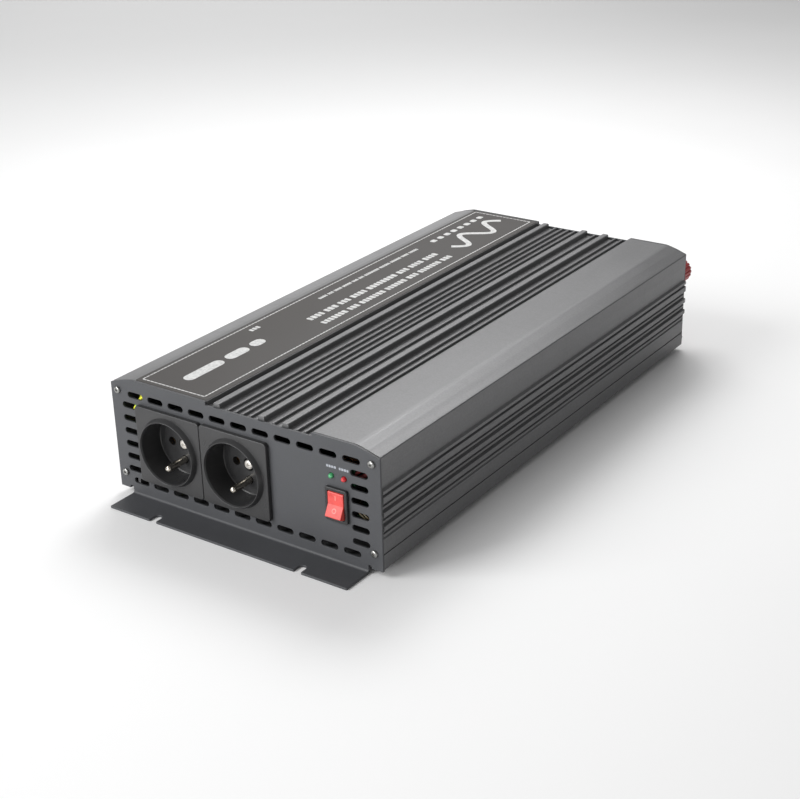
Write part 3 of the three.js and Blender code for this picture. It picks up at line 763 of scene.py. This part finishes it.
def make_extrusion(name, node, corner, channel, edge):
    """A piece of the case as long as the CAD node, with rounded corners and round screw channels."""
    loops = loops_at(node, "Y", COVER_LOW.y)
    outer = filleted(loops[0], corner)
    channels = [circle(*middle_of(loop), channel, 32) for loop in loops[1:]]
    ends = COVER_LOW.y + SHADOW_GAP, COVER_HIGH.y - SHADOW_GAP
    stands_for(prism(name, [outer, *channels], *ends, "Y", edge), node)


def middle_of(loop):
    us, vs = zip(*loop)
    return (min(us) + max(us)) / 2, (min(vs) + max(vs)) / 2


def size_of(loop):
    us, vs = zip(*loop)
    return max(us) - min(us), max(vs) - min(vs)


VENT_LENGTH, VENT_WIDTH = 12 * MM, 4 * MM


def redrawn(loop):
    """One of the CAD panel's openings, with true arcs."""
    u, v = middle_of(loop)
    width, height = size_of(loop)
    corners = len(straightened(loop))
    if corners <= 4:
        return rectangle(u, v, width, height, 0.5 * MM)
    if width > 1.5 * height:
        return stadium(u, v, VENT_LENGTH, VENT_WIDTH)
    return circle(u, v, height / 2, 24 if height < 8 * MM else 96)


BEND_INNER = 1.5 * MM
BEND_CUTS = 8
FLANGE_OUT = PANEL_LOW.y - FRONT  # negative: towards the front
NOTCH = {"x": 55 * MM, "width": 5.2 * MM, "depth": 7.3 * MM}


def folded_panel(name, node, face, end):
    """A sheet panel cut flat with its openings and notches, and its foot then bent outwards."""
    bend_z = BEND_INNER + SHEET
    neutral = BEND_INNER + SHEET / 2
    bend_length = neutral * math.pi / 2
    flat_length = -FLANGE_OUT - BEND_INNER
    bottom = bend_z - bend_length - flat_length
    loops = loops_at(node, "Y", face)
    outer = straightened(loops[0])
    if signed_area(outer) < 0:
        outer.reverse()
    low = [p for p in outer if p[1] < bend_z + 0.01 * MM]
    half = max(p[0] for p in low)
    upper = [p for p in outer if p not in low]
    start = min(range(len(upper)), key=lambda i: math.dist(upper[i], (half, 6 * MM)))
    upper = upper[start:] + upper[:start]
    foot = [(-half, bottom)]
    for x in (-NOTCH["x"], NOTCH["x"]):
        r = NOTCH["width"] / 2
        top = bottom + NOTCH["depth"] - r
        foot += [(x - r, bottom), *arc(x, top, r, 180, 0, 16), (x + r, bottom)]
    foot.append((half, bottom))
    outline = [*foot, *upper]
    rounded = filleted(outline, 0.5 * MM, 14 * MM)
    openings = [redrawn(loop) for loop in loops[1:]]
    bm = prism_mesh([rounded, *openings], -SHEET / 2, SHEET / 2, "Y", 0.25 * MM)
    for i in range(BEND_CUTS + 1):
        z = bend_z - bend_length * i / BEND_CUTS
        geometry = [*bm.verts, *bm.edges, *bm.faces]
        bmesh.ops.bisect_plane(bm, geom=geometry, plane_co=(0, 0, z), plane_no=(0, 0, 1), dist=1e-7)
    for vert in bm.verts:
        x, t, z = vert.co  # t is the depth through the sheet
        along = bend_z - z
        radius = neutral + t
        if along <= 0:
            y = radius
        elif along < bend_length:
            angle = along / neutral
            y, z = radius * math.cos(angle), bend_z - radius * math.sin(angle)
        else:
            y, z = bend_length - along, bend_z - radius
        vert.co = (x, end * (abs(face) + BEND_INNER - y), z)
    return stands_for(new_object(name, bm), node)


def make_label():
    """The printed film, its border and generic marks in place of its lettering."""
    low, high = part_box("label_plate")
    ink = 0.04 * MM
    centre = middle("label_plate")
    width, length = high.x - low.x, high.y - low.y
    film = prism(
        "label", [rectangle(centre.x, centre.y, width, length, 1.2 * MM)],
        low.z, high.z - ink, "Z", 0.08 * MM,
    )
    stands_for(film, "label_plate")
    marks = [*border_line(low, high), *text_rows(low), *bold_marks(low)]
    pieces = [
        prism(f"mark_{i}", loops, high.z - ink, high.z, "Z") for i, loops in enumerate(marks)
    ]
    detail(merged("label_print", pieces), "print_ink", slot="label_film")


def dashes(start, end, dash, gap):
    """The middle and the length of each dash in a row that fills start to end."""
    count = round((end - start) / (dash + gap))
    step = (end - start) / count
    return [(start + (i + 0.5) * step, step - gap) for i in range(count)]


def border_line(low, high):
    """A thin frame of short dashes."""
    dash, gap, thick = 2.6 * MM, 0.5 * MM, 0.9 * MM
    x0, x1 = low.x + 3.1 * MM, high.x - 4.6 * MM
    y0, y1 = low.y + 3.5 * MM, high.y - 3.5 * MM
    rows, columns = dashes(y0, y1, dash, gap), dashes(x0, x1, dash, gap)
    marks = [[rectangle(x, y, thick, length)] for x in (x0, x1) for y, length in rows]
    return marks + [[rectangle(x, y, length, thick)] for y in (y0, y1) for x, length in columns]


def text_rows(low):
    """Rows of small plain blocks where the film carries lines of print."""
    chance = random.Random(4)
    rows = [  # distance from the left edge, thickness, start and end along the film, mm
        (30, 5.0, 132, 286), (41.5, 4.8, 132, 286), (12.6, 2.6, 166, 286), (9.5, 3.6, 97, 108),
    ]
    marks = []
    for across, thick, start, end in rows:
        y = start
        while y < end - thick:
            for _ in range(chance.randint(3, 8)):
                length = thick * chance.uniform(0.5, 0.72)
                if y + length > end:
                    break
                marks.append([block(low, across, y, thick, length, 0.12)])
                y += length + thick * 0.2
            y += thick * 0.5
    return marks


def block(low, across, along, thick, length, rounding):
    """A plain block of print, placed from the film's left front corner, in mm."""
    return rectangle(
        low.x + across * MM, low.y + (along + length / 2) * MM,
        thick * MM, length * MM, rounding * thick * MM, 3,
    )


def bold_marks(low):
    """Three bold bars at the front and a wave between two rows of bars at the back."""
    marks = [[block(low, 26, y, 8.0, length, 0.5)] for y, length in ((16, 34), (54, 20), (78, 12))]
    marks += [[block(low, 13, 303 + 9.2 * k, 4.4, 5.6, 0.3)] for k in range(8)]
    marks.append([wave_band(low.x + 31 * MM, low.y + 337 * MM)])
    return marks


def wave_band(x, y):
    """A bold sine wave along the film, the common sign for alternating current."""
    reach, height, thick, turns, steps = 35 * MM, 9 * MM, 4.2 * MM, 2, 96
    near, far = [], []
    for i in range(steps + 1):
        t = 2 * i / steps - 1
        phase = math.pi * turns * t
        across = height * math.sin(phase)
        slope = height * math.pi * turns * math.cos(phase) / reach
        tilt = math.hypot(1, slope)
        for side, row in ((1, near), (-1, far)):
            shift = side * thick / 2
            row.append((x + across + shift / tilt, y + reach * t - shift * slope / tilt))
    return near + far[::-1]


# ---------- screws


def cross_tool(x, y, z, end, size, width, depth):
    """A tapered cross that cuts a screwdriver recess from the head's top at y."""
    bm = bmesh.new()
    rings = []
    for share, reach in ((1.0, -0.4), (0.35, 1.0)):
        a, b = size * share, width / 2
        spots = [(a, -b), (a, b), (b, b), (b, a), (-b, a), (-b, b), (-a, b), (-a, -b),
                 (-b, -b), (-b, -a), (b, -a), (b, -b)]
        rings.append([bm.verts.new((x + u, y - end * depth * reach, z + v)) for u, v in spots])
    bm.faces.new(rings[0])
    bm.faces.new(rings[1])
    for i in range(12):
        j = (i + 1) % 12
        bm.faces.new((rings[0][i], rings[0][j], rings[1][j], rings[1][i]))
    return new_object("cross_tool", bm)


def pan_screw(name, x, z, seat, end, head, rise, shank, length, cross=0.24):
    """A cross-recess pan-head screw; end is the way its head faces along Y."""
    angles = [math.radians(a) for a in range(0, 90, 9)]
    dome = [(head * math.cos(a) ** 0.6, 0.35 * rise + 0.65 * rise * math.sin(a)) for a in angles]
    profile = [(0, -length), (shank, -length + shank * 0.6), (shank, 0), (head * 0.97, 0),
               (head, 0.1 * rise), *dome, (0, rise)]
    screw = lathe(name, [(r, seat + end * y) for r, y in profile], x, z, 48)
    tool = cross_tool(x, seat + end * rise, z, end, head * 0.55, head * cross, rise * 0.7)
    return combine(screw, [tool], "DIFFERENCE")


def make_corner_screws():
    for end, word, face in ((-1, "front", FRONT), (1, "rear", REAR)):
        for number in range(1, 5):
            node = f"{word}_screw_{number}"
            low, high, centre = box_and_middle(node)
            out = low.y if end < 0 else high.y
            inner = high.y if end < 0 else low.y
            screw = pan_screw(
                f"{node}_head", centre.x, centre.z, face, end, (high.x - low.x) / 2 * 1.02,
                abs(out - face), 1.4 * MM, abs(inner - face),
            )
            stands_for(screw, node, 30)


# ---------- sockets

SOCKET = {"collar": 21.75, "recess": 19.75, "back": 22, "depth": 17.4, "floor": 3, "face": 3}


def make_socket(side):
    node = f"socket_{side}"
    low, high, centre = box_and_middle(node)
    x, z = centre.x, centre.z
    face = FRONT - SOCKET["face"] * MM
    floor = low.y + SOCKET["depth"] * MM
    under = floor + SOCKET["floor"] * MM
    collar, recess, back = (SOCKET[k] * MM for k in ("collar", "recess", "back"))
    width, height = high.x - low.x, high.z - low.z
    plate = prism(
        f"{node}_plate",
        [rectangle(x, z, width, height, 2.2 * MM, 8), circle(x, z, collar - 0.4 * MM, 96)],
        face, FRONT, "Y", 0.5 * MM, 4,
    )
    rim, step = 0.3 * MM, 15.8 * MM
    crest = [math.radians(a) for a in range(165, 0, -15)]
    bowl = [
        (0, floor - 0.5 * MM), (step - 0.3 * MM, floor - 0.5 * MM), (step, floor - 0.25 * MM),
        (step + 0.1 * MM, floor), (recess - 0.5 * MM, floor), (recess, floor - 0.5 * MM),
        (recess, low.y + 1.1 * MM), (recess + 0.35 * MM, low.y + 0.5 * MM),
        *[(recess + 0.75 * MM + rim * math.cos(a), low.y + rim - rim * math.sin(a)) for a in crest],
        (collar - 0.15 * MM, low.y + 1.6 * MM), (collar, face - 0.8 * MM),
        (collar + 0.4 * MM, face - 0.15 * MM),
        (collar + 0.6 * MM, face + 0.3 * MM), (back, FRONT - 0.5 * MM), (back, high.y),
        (recess, high.y), (recess, under), (0, under),
    ]
    cup = lathe(f"{node}_cup", bowl[::-1], x, z, 128)
    holes = [
        lathe("hole", [(0, floor - 2 * MM), (r, floor - 2 * MM), (r, under + MM), (0, under + MM)],
              x + dx, z + dz, 40)
        for r, dx, dz in (
            (2.75 * MM, -9.5 * MM, 0), (2.75 * MM, 9.5 * MM, 0), (2.6 * MM, 0, -10 * MM),
            (1.8 * MM, 0, 0),
        )
    ]
    seat = lathe("seat", [(0, floor - 2 * MM), (4 * MM, floor - 2 * MM), (4 * MM, floor), (0, floor)],
                 x, z, 48)
    combine(cup, [*holes, seat], "DIFFERENCE")
    stands_for(merged(f"{node}_insert", [plate, cup]), node, 28)
    make_earth_pin(side)
    make_socket_screw(side, floor)


def make_earth_pin(side):
    node = f"earth_pin_{side}"
    low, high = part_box(node)
    x, z = middle(node).x, middle(f"socket_{side}").z - 10 * MM
    r = 2.3 * MM
    ring = high.y - 2.5 * MM
    profile = [*tip(r, low.y), (r, ring), (3.6 * MM, ring), (3.6 * MM, high.y), (0, high.y)]
    stands_for(lathe(f"{node}_bar", profile, x, z, 48), node, 30, "pin_metal")


def make_socket_screw(side, floor):
    node = f"socket_screw_{side}"
    low, high, centre = box_and_middle(node)
    screw = pan_screw(
        f"{node}_head", centre.x, centre.z, floor, -1, (high.x - low.x) / 2,
        floor - low.y, 1.5 * MM, high.y - floor, 0.14,
    )
    stands_for(screw, node, 30, "screw_nickel")


# ---------- switch and lamps


WELL_HEIGHT = 17 * MM
SWITCH_BODY = (12.6 * MM, 19.2 * MM)
SWITCH_BACK = 4 * MM
ROCKER_SHARE = 0.94  # the drawn rocker's side profile against the CAD one's
ROCKER_TILT = 14  # degrees


def make_switch():
    low, high, centre = box_and_middle("switch_housing")
    rocker_low, rocker_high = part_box("switch_rocker")
    half = (rocker_high.x - rocker_low.x) / 2 + 0.3 * MM
    opening = rectangle(centre.x, centre.z, 2 * half, WELL_HEIGHT, 0.4 * MM)
    bezel = prism(
        "bezel",
        [rectangle(centre.x, centre.z, high.x - low.x, high.z - low.z, 1.1 * MM), opening],
        low.y, FRONT, "Y", 0.45 * MM, 4,
    )
    body = rectangle(centre.x, centre.z, *SWITCH_BODY, 0.4 * MM)
    sleeve = prism("sleeve", [body, opening], FRONT, high.y - SWITCH_BACK, "Y", 0.05 * MM)
    back = prism("back", [body], high.y - SWITCH_BACK, high.y, "Y", 0.1 * MM)
    stands_for(merged("switch_body", [bezel, sleeve, back]), "switch_housing")

    profile = [
        (PIVOT.y + ROCKER_SHARE * (u - PIVOT.y), PIVOT.z + ROCKER_SHARE * (v - PIVOT.z))
        for u, v in loops_at("switch_rocker", "X", rocker_low.x)[0]
    ]
    profile = filleted(profile, 0.9 * MM, 6 * MM, 6)
    key = prism("rocker", [profile], rocker_low.x, rocker_high.x, "X", 0.35 * MM, 4)
    stands_for(key, "switch_rocker")
    make_rocker_marks()


def make_rocker_marks():
    """The common on and off signs, a line and a ring, on the two halves of the rocker."""
    centre, lift = 2.07 * MM, 0.03 * MM
    line = prism("on_mark", [rectangle(0, 4.4 * MM, 0.6 * MM, 3.2 * MM, 0.2 * MM)], -lift, lift)
    ring = prism(
        "off_mark", [circle(0, -3.4 * MM, 1.5 * MM), circle(0, -3.4 * MM, 0.95 * MM)], -lift, lift,
    )
    for mark, sign in ((line, 1), (ring, -1)):
        slope = Matrix.Rotation(math.radians(sign * ROCKER_TILT), 4, "X")
        rest = Matrix.Rotation(math.radians(-ROCKER_TILT), 4, "X")
        front = Matrix.Translation((0, -centre, 0))
        mark.data.transform(Matrix.Translation(PIVOT) @ rest @ front @ slope)
        detail(mark, "rocker_ink", "rocker", "rocker_red")


def make_lamps():
    for word in ("green", "red"):
        node = f"lamp_{word}"
        low, high, centre = box_and_middle(node)
        r = 1.5 * MM
        flange = high.y - 1.2 * MM
        wide = (high.x - low.x) / 2
        profile = [*tip(r, low.y), (r, flange), (wide, flange), (wide, high.y), (0, high.y)]
        stands_for(lathe(f"{node}_lens", profile, centre.x, centre.z, 48), node, 30)


def make_panel_marks():
    """Small plain bars over the lamps."""
    marks = []
    chance = random.Random(9)
    for node in ("lamp_green", "lamp_red"):
        x, z = middle(node).x - 3.4 * MM, middle(node).z + 5.6 * MM
        for _ in range(4):
            width = chance.uniform(1.2, 1.7) * MM
            marks.append(rectangle(x + width / 2, z, width, 1.5 * MM, 0.3 * MM, 3))
            x += width + 0.35 * MM
    low, high = FRONT - 0.03 * MM, FRONT + 0.02 * MM
    pieces = [prism(f"lamp_mark_{i}", [mark], low, high) for i, mark in enumerate(marks)]
    detail(merged("lamp_marks", pieces), "panel_ink", slot="panel_paint")


# Each wire behind the vents: finish, record slot, radius and a route of x, y behind the front, z, in mm.
WIRES = {
    "lamp_wire": ("lead_red", "lead_red", 1.1, [
        (79, 3.8, 58), (83, 7.5, 61), (89, 6.5, 63.5), (84, 6, 68.5), (76, 7, 69.6), (64, 9, 69),
        (50, 14, 68.6), (44, 22, 64),
    ]),
    "lamp_wire_2": ("lead_red", "lead_red", 1.1, [
        (79, 3.8, 55), (85, 8.5, 58), (91, 8.5, 61), (88, 8, 66.5), (78, 9, 67.6), (66, 12, 67),
        (52, 18, 66),
    ]),
    "switch_wire": ("lead_tan", "contact_brass", 0.5, [
        (74, 19, 36), (78, 11, 38.4), (80.5, 5, 38.2), (84.5, 3.8, 36), (88.5, 4, 33.2), (91, 10, 28),
    ]),
    "switch_wire_2": ("lead_tan", "contact_brass", 0.5, [
        (74, 19, 33.8), (78, 11, 36.2), (81, 5, 35.2), (84, 4, 33.6), (87, 5, 31), (89, 12, 26),
    ]),
    "earth_loop": ("earth_wire", "earth_wire", 1.1, [
        (-66, 16, 66), (-71, 8, 70), (-76.5, 3.4, 69), (-83.5, 3, 60.6), (-86.5, 5, 54), (-84, 12, 45),
    ]),
}


def make_wiring():
    """The wires that show behind the vents."""
    for name, (finish, slot, radius, route) in WIRES.items():
        points = [(x * MM, FRONT + y * MM, z * MM) for x, y, z in route]
        detail(tube(name, through_points(points, 8), radius * MM), finish, slot=slot, angle=60)


# ---------- fans

FAN = {"duct": 28.5, "hole": 25, "hub": 14.4, "tip": 27.6, "blades": 7}
GUARD = {"rings": (6, 11.5, 17, 22.5, 28), "wire": 0.7, "eye": 2.6}


def make_fan(side):
    frame_node, rotor_node = f"fan_frame_{side}", f"fan_rotor_{side}"
    low, high, centre = box_and_middle(frame_node)
    x, z = centre.x, centre.z
    duct = FAN["duct"] * MM
    spread = FAN["hole"] * MM
    corners = [(u, v) for u in (-spread, spread) for v in (-spread, spread)]
    rim = prism(
        f"{frame_node}_rim",
        [rectangle(x, z, high.x - low.x, high.z - low.z, 4 * MM, 8), circle(x, z, duct, 96),
         *[circle(x + u, z + v, 2.1 * MM, 24) for u, v in corners]],
        low.y, high.y, "Y", 0.4 * MM,
    )
    motor = prism("motor", [circle(x, z, 14 * MM, 64)], low.y, low.y + 1.8 * MM, "Y", 0.3 * MM)
    parts = [rim, motor]
    for k in range(4):
        arm = prism("arm", [rectangle(21 * MM, 0, 17 * MM, 3 * MM, 0.4 * MM)],
                    low.y, low.y + 1.8 * MM, "Y", 0.2 * MM)
        turn = Matrix.Rotation(math.radians(90 * k + 20), 4, "Y")
        arm.data.transform(Matrix.Translation((x, 0, z)) @ turn)
        parts.append(arm)
    stands_for(merged(f"{frame_node}_body", parts), frame_node)
    make_rotor(rotor_node, x, z)
    make_guard(side, x, z)


def make_rotor(node, x, z):
    low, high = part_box(node)
    hub, tip = FAN["hub"] * MM, FAN["tip"] * MM
    cup_low = low.y + 1.6 * MM
    profile = [
        (0, low.y), (1.5 * MM, low.y), (1.5 * MM, cup_low), (hub, cup_low), (hub, high.y - 1.2 * MM),
        (hub - 0.5 * MM, high.y - 0.35 * MM), (hub - 1.2 * MM, high.y), (8 * MM, high.y),
        (7.6 * MM, high.y - 0.3 * MM), (0, high.y - 0.3 * MM),
    ]
    cup = lathe(f"{node}_hub", profile, x, z, 72)
    parts = [cup]
    across, along = 10, 12
    blade_low, blade_high = cup_low + 0.8 * MM, high.y - 0.9 * MM
    for number in range(FAN["blades"]):
        bm = bmesh.new()
        grid = []
        for i in range(across + 1):
            radius = (hub - 0.6 * MM) + (tip - hub + 0.6 * MM) * i / across
            sweep = math.radians(10) * (i / across) ** 1.5
            chord = math.radians(46 - 10 * i / across)
            row = []
            for j in range(along + 1):
                t = j / along
                angle = 2 * math.pi * number / FAN["blades"] + sweep + chord * (t - 0.5)
                bow = math.sin(math.pi * t) * 0.9 * MM
                y = blade_low + (blade_high - blade_low) * t + bow * (1 - t)
                row.append(bm.verts.new((x + radius * math.cos(angle), y, z + radius * math.sin(angle))))
            grid.append(row)
        for a, b in zip(grid, grid[1:]):
            for j in range(along):
                bm.faces.new((a[j], a[j + 1], b[j + 1], b[j]))
        blade = new_object(f"blade_{number}", bm)
        thick = blade.modifiers.new("thick", "SOLIDIFY")
        thick.thickness = 1.0 * MM
        thick.offset = 0
        bpy.context.view_layer.update()
        parts.append(baked(blade))
    stands_for(merged(f"{node}_wheel", parts), node, 35)


def make_guard(side, x, z):
    """A round-wire finger guard held by four screws."""
    node = f"fan_guard_{side}"
    low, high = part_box(node)
    wire = GUARD["wire"] * MM
    plane = high.y - wire
    reach = FAN["hole"] * math.sqrt(2) * MM
    parts = []
    for radius in GUARD["rings"]:
        ring = [(u, plane, v) for u, v in circle(x, z, radius * MM, 72)]
        parts.append(tube("ring", ring, wire, True))
    for k in range(4):
        angle = math.radians(45 + 90 * k)
        along = Vector((math.cos(angle), 0, math.sin(angle)))
        over = Vector((-math.sin(angle), 0, math.cos(angle)))
        centre = Vector((x, 0, z))
        under = Vector((0, plane - 1.3 * wire, 0))
        foot = Vector((0, REAR + wire, 0))
        bend = centre + along * (reach - 6 * MM)
        eye = centre + along * reach
        spokes = [centre + under, centre + along * 20 * MM + under, bend + under * 0.5 + foot * 0.5]
        eye_ring = [
            eye + (-along * math.cos(t) + over * math.sin(t)) * GUARD["eye"] * MM + foot
            for t in [math.radians(a) for a in range(0, 331, 15)]
        ]
        line = through_points([*spokes, eye_ring[0]], 6)
        parts.append(tube("arm", [*line, *eye_ring[1:]], wire))
    stands_for(merged(f"{node}_wires", parts), node, 60)
    for number, (u, v) in enumerate([(-1, -1), (-1, 1), (1, -1), (1, 1)], 1):
        spread = FAN["hole"] * MM
        seat = REAR + 2.1 * wire
        screw = pan_screw(
            f"fan_screw_{side}_{number}", x + u * spread, z + v * spread, seat, 1,
            2.9 * MM, 1.7 * MM, 1.5 * MM, 9 * MM,
        )
        detail(screw, "screw_steel", slot="screw_steel", angle=30)


# ---------- rear terminals


def make_terminal(pole):
    x, _, z = middle(f"{pole}_stud")
    low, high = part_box(f"{pole}_base")
    wide = (high.x - low.x) / 2
    bore, boss = 4.3 * MM, 7 * MM
    base = [
        (bore, low.y), (boss, low.y), (boss, REAR), (wide - 0.3 * MM, REAR), (wide, REAR + 0.4 * MM),
        (wide, high.y - 1.1 * MM), (wide - 0.4 * MM, high.y - 0.4 * MM), (wide - 1.1 * MM, high.y),
        (9.5 * MM, high.y), (9.2 * MM, high.y - 0.4 * MM), (8.4 * MM, high.y - 0.4 * MM),
        (8.2 * MM, high.y), (bore, high.y),
    ]
    stands_for(lathe(f"{pole}_insulator", base, x, z, 96), f"{pole}_base")

    low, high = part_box(f"{pole}_stud")
    seat_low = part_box(f"{pole}_base")[1].y
    seat_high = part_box(f"{pole}_washer")[0].y - 0.3 * MM
    r, pitch, depth = 4 * MM, 1.25 * MM, 0.4 * MM
    thread = []
    y = seat_high + 0.4 * MM
    while y + pitch < high.y - 0.8 * MM:
        thread += [(r, y), (r, y + 0.15 * pitch), (r - depth, y + 0.5 * pitch), (r, y + 0.85 * pitch)]
        y += pitch
    stud = [
        (0, low.y), (r - 0.4 * MM, low.y), (r, low.y + 0.4 * MM), (r, seat_low), (7.7 * MM, seat_low),
        (8 * MM, seat_low + 0.3 * MM), (8 * MM, seat_high - 0.3 * MM), (7.7 * MM, seat_high),
        (r, seat_high), *thread, (r, high.y - 0.6 * MM), (r - 0.6 * MM, high.y), (0, high.y),
    ]
    stands_for(lathe(f"{pole}_bolt", stud, x, z, 64), f"{pole}_stud", 30)

    low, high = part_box(f"{pole}_washer")
    e = 0.15 * MM
    washer = [
        (bore, low.y), (8 * MM - e, low.y), (8 * MM, low.y + e), (8 * MM, high.y - e),
        (8 * MM - e, high.y), (bore, high.y),
    ]
    stands_for(lathe(f"{pole}_ring", washer, x, z, 64), f"{pole}_washer")
    make_cap(pole, x, z, bore)


def make_cap(pole, x, z, bore):
    """A moulded nut with finger grips around it."""
    low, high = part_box(f"{pole}_cap")
    wide = (high.x - low.x) / 2
    inner = high.y - 2.4 * MM
    profile = [
        (0, inner), (bore, inner), (bore, low.y + 0.4 * MM), (bore + 0.4 * MM, low.y),
        (wide - 0.6 * MM, low.y), (wide, low.y + 0.5 * MM), (wide, low.y + 4 * MM),
        (wide, high.y - 2.2 * MM), (wide - 0.35 * MM, high.y - 1.1 * MM),
        (wide - 1.1 * MM, high.y - 0.3 * MM), (wide - 2 * MM, high.y), (5 * MM, high.y),
        (4.6 * MM, high.y - 0.35 * MM), (0, high.y - 0.35 * MM),
    ]

    def grip(radius, y, angle):
        if radius < wide - 2.1 * MM:
            return radius
        flute = abs(math.cos(9 * angle)) ** 6
        return radius - 0.75 * MM * flute

    stands_for(lathe(f"{pole}_nut", profile, x, z, 180, grip), f"{pole}_cap")


def make_polarity_marks():
    """The common plus and minus signs beside the battery terminals."""
    y0, y1 = REAR - 0.02 * MM, REAR + 0.03 * MM
    marks = []
    for pole in ("positive", "negative"):
        x, z = middle(f"{pole}_base").x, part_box(f"{pole}_base")[0].z - 5 * MM
        marks.append(rectangle(x, z, 5 * MM, 1.2 * MM))
        if pole == "positive":
            marks.append(rectangle(x, z + 1.6 * MM, 1.2 * MM, 1.9 * MM))
            marks.append(rectangle(x, z - 1.6 * MM, 1.2 * MM, 1.9 * MM))
    pieces = [prism(f"pole_mark_{i}", [m], y0, y1) for i, m in enumerate(marks)]
    detail(merged("polarity_marks", pieces), "panel_ink", slot="panel_paint")


def make_earth_screw():
    low, high, centre = box_and_middle("earth_screw")
    x, z = centre.x, centre.z
    seat = REAR + 1.2 * MM
    washer = lathe("earth_washer", [
        (0, low.y), (2.4 * MM, low.y + 0.5 * MM), (2.4 * MM, REAR), (7.3 * MM, REAR),
        (7.5 * MM, REAR + 0.2 * MM), (7.5 * MM, seat - 0.2 * MM), (7.3 * MM, seat), (0, seat),
    ], x, z, 72)
    head = prism("earth_head", [circle(x, z, 5.4 * MM, 6)], seat, high.y, "Y", 0.35 * MM)
    stands_for(merged("earth_bolt", [washer, head]), "earth_screw")


# ---------- stage

FLOOR_HALF = 6.0
VIEW = {  # the camera: degrees, metres, and the lens in mm
    "azimuth": 35.15, "elevation": 24.63, "roll": -1.48, "distance": 1.0828, "lens": 69.89,
    "target": (-0.0264, 0.006, 0.00196),
}


def make_camera():
    a, e, r = (math.radians(VIEW[k]) for k in ("azimuth", "elevation", "roll"))
    back = Vector((math.sin(a) * math.cos(e), -math.cos(a) * math.cos(e), math.sin(e)))
    right = Vector((math.cos(a), math.sin(a), 0))
    up = back.cross(right)
    across = right * math.cos(r) + up * math.sin(r)
    upward = up * math.cos(r) - right * math.sin(r)
    data = bpy.data.cameras.new("view")
    data.lens = VIEW["lens"]
    data.sensor_width = 36
    data.clip_start = 0.01
    camera = bpy.data.objects.new("view", data)
    place = Vector(VIEW["target"]) + back * VIEW["distance"]
    turned = Matrix((across, upward, back)).transposed().to_4x4()
    camera.matrix_world = Matrix.Translation(place) @ turned
    bpy.context.scene.collection.objects.link(camera)
    bpy.context.scene.camera = camera


LIGHTS = {  # place, target and size in metres, power in watts
    "rear_softbox": ((-1.2, 1.45, 1.4), (0, 0, 0.05), (1.6, 1.1), 5.8),
    "low_rear_softbox": ((-1.7, 1.9, 0.35), (0, 0, 0.05), (1.4, 0.45), 3.1),
    "top_softbox": ((-0.2, 0.75, 0.95), (0.05, -0.1, 0.05), (0.5, 0.5), 4.2),
    "near_softbox": ((-0.35, 0.42, 0.75), (0.07, -0.16, 0.05), (0.35, 0.35), 2.2),
    "front_softbox": ((-1.0, -1.4, 1.2), (0, 0, 0.03), (1.0, 1.0), 24),
    "front_fill": ((-0.35, -2.1, 0.4), (0, 0, 0.04), (1.2, 0.5), 21),
}


def area_light(name, place, target, size, power):
    data = bpy.data.lights.new(name, "AREA")
    data.shape = "RECTANGLE"
    data.size, data.size_y = size
    data.energy = power
    light = bpy.data.objects.new(name, data)
    light.location = place
    light.rotation_euler = (Vector(place) - Vector(target)).to_track_quat("Z", "Y").to_euler()
    bpy.context.scene.collection.objects.link(light)


def make_stage():
    bm = bmesh.new()
    corners = rectangle(0, 0, 2 * FLOOR_HALF, 2 * FLOOR_HALF)
    bm.faces.new([bm.verts.new((x, y, 0)) for x, y in corners])
    floor = new_object("floor", bm)
    floor.data.materials.append(pale_floor())
    floor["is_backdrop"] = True
    world = bpy.data.worlds.new("studio")
    world.use_nodes = True
    background = world.node_tree.nodes["Background"]
    background.inputs["Color"].default_value = (1, 1, 1, 1)
    background.inputs["Strength"].default_value = 0.3
    bpy.context.scene.world = world
    for name, values in LIGHTS.items():
        area_light(name, *values)
    bpy.context.scene.view_settings.view_transform = "Standard"


# ---------- assembly

make_camera()
make_stage()
make_extrusion("cover", "top_shell", 0.35 * MM, 1.6 * MM, 0.22 * MM)
make_extrusion("tray", "bottom_tray", 0.3 * MM, 1.45 * MM, 0.08 * MM)
folded_panel("front_sheet", "front_panel", FRONT, -1)
folded_panel("rear_sheet", "rear_panel", REAR, 1)
make_label()
make_corner_screws()
for side in ("left", "right"):
    make_socket(side)
    make_fan(side)
make_switch()
make_lamps()
make_panel_marks()
make_wiring()
for pole in ("positive", "negative"):
    make_terminal(pole)
make_polarity_marks()
make_earth_screw()
for node in sorted(set(frame["nodes"]) - redrawn_nodes):
    kept(node)

sizes = {"cad": cad_bounds, "visual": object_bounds()}
{k: [[float(c) for c in corner] for corner in v] for k, v in sizes.items()}
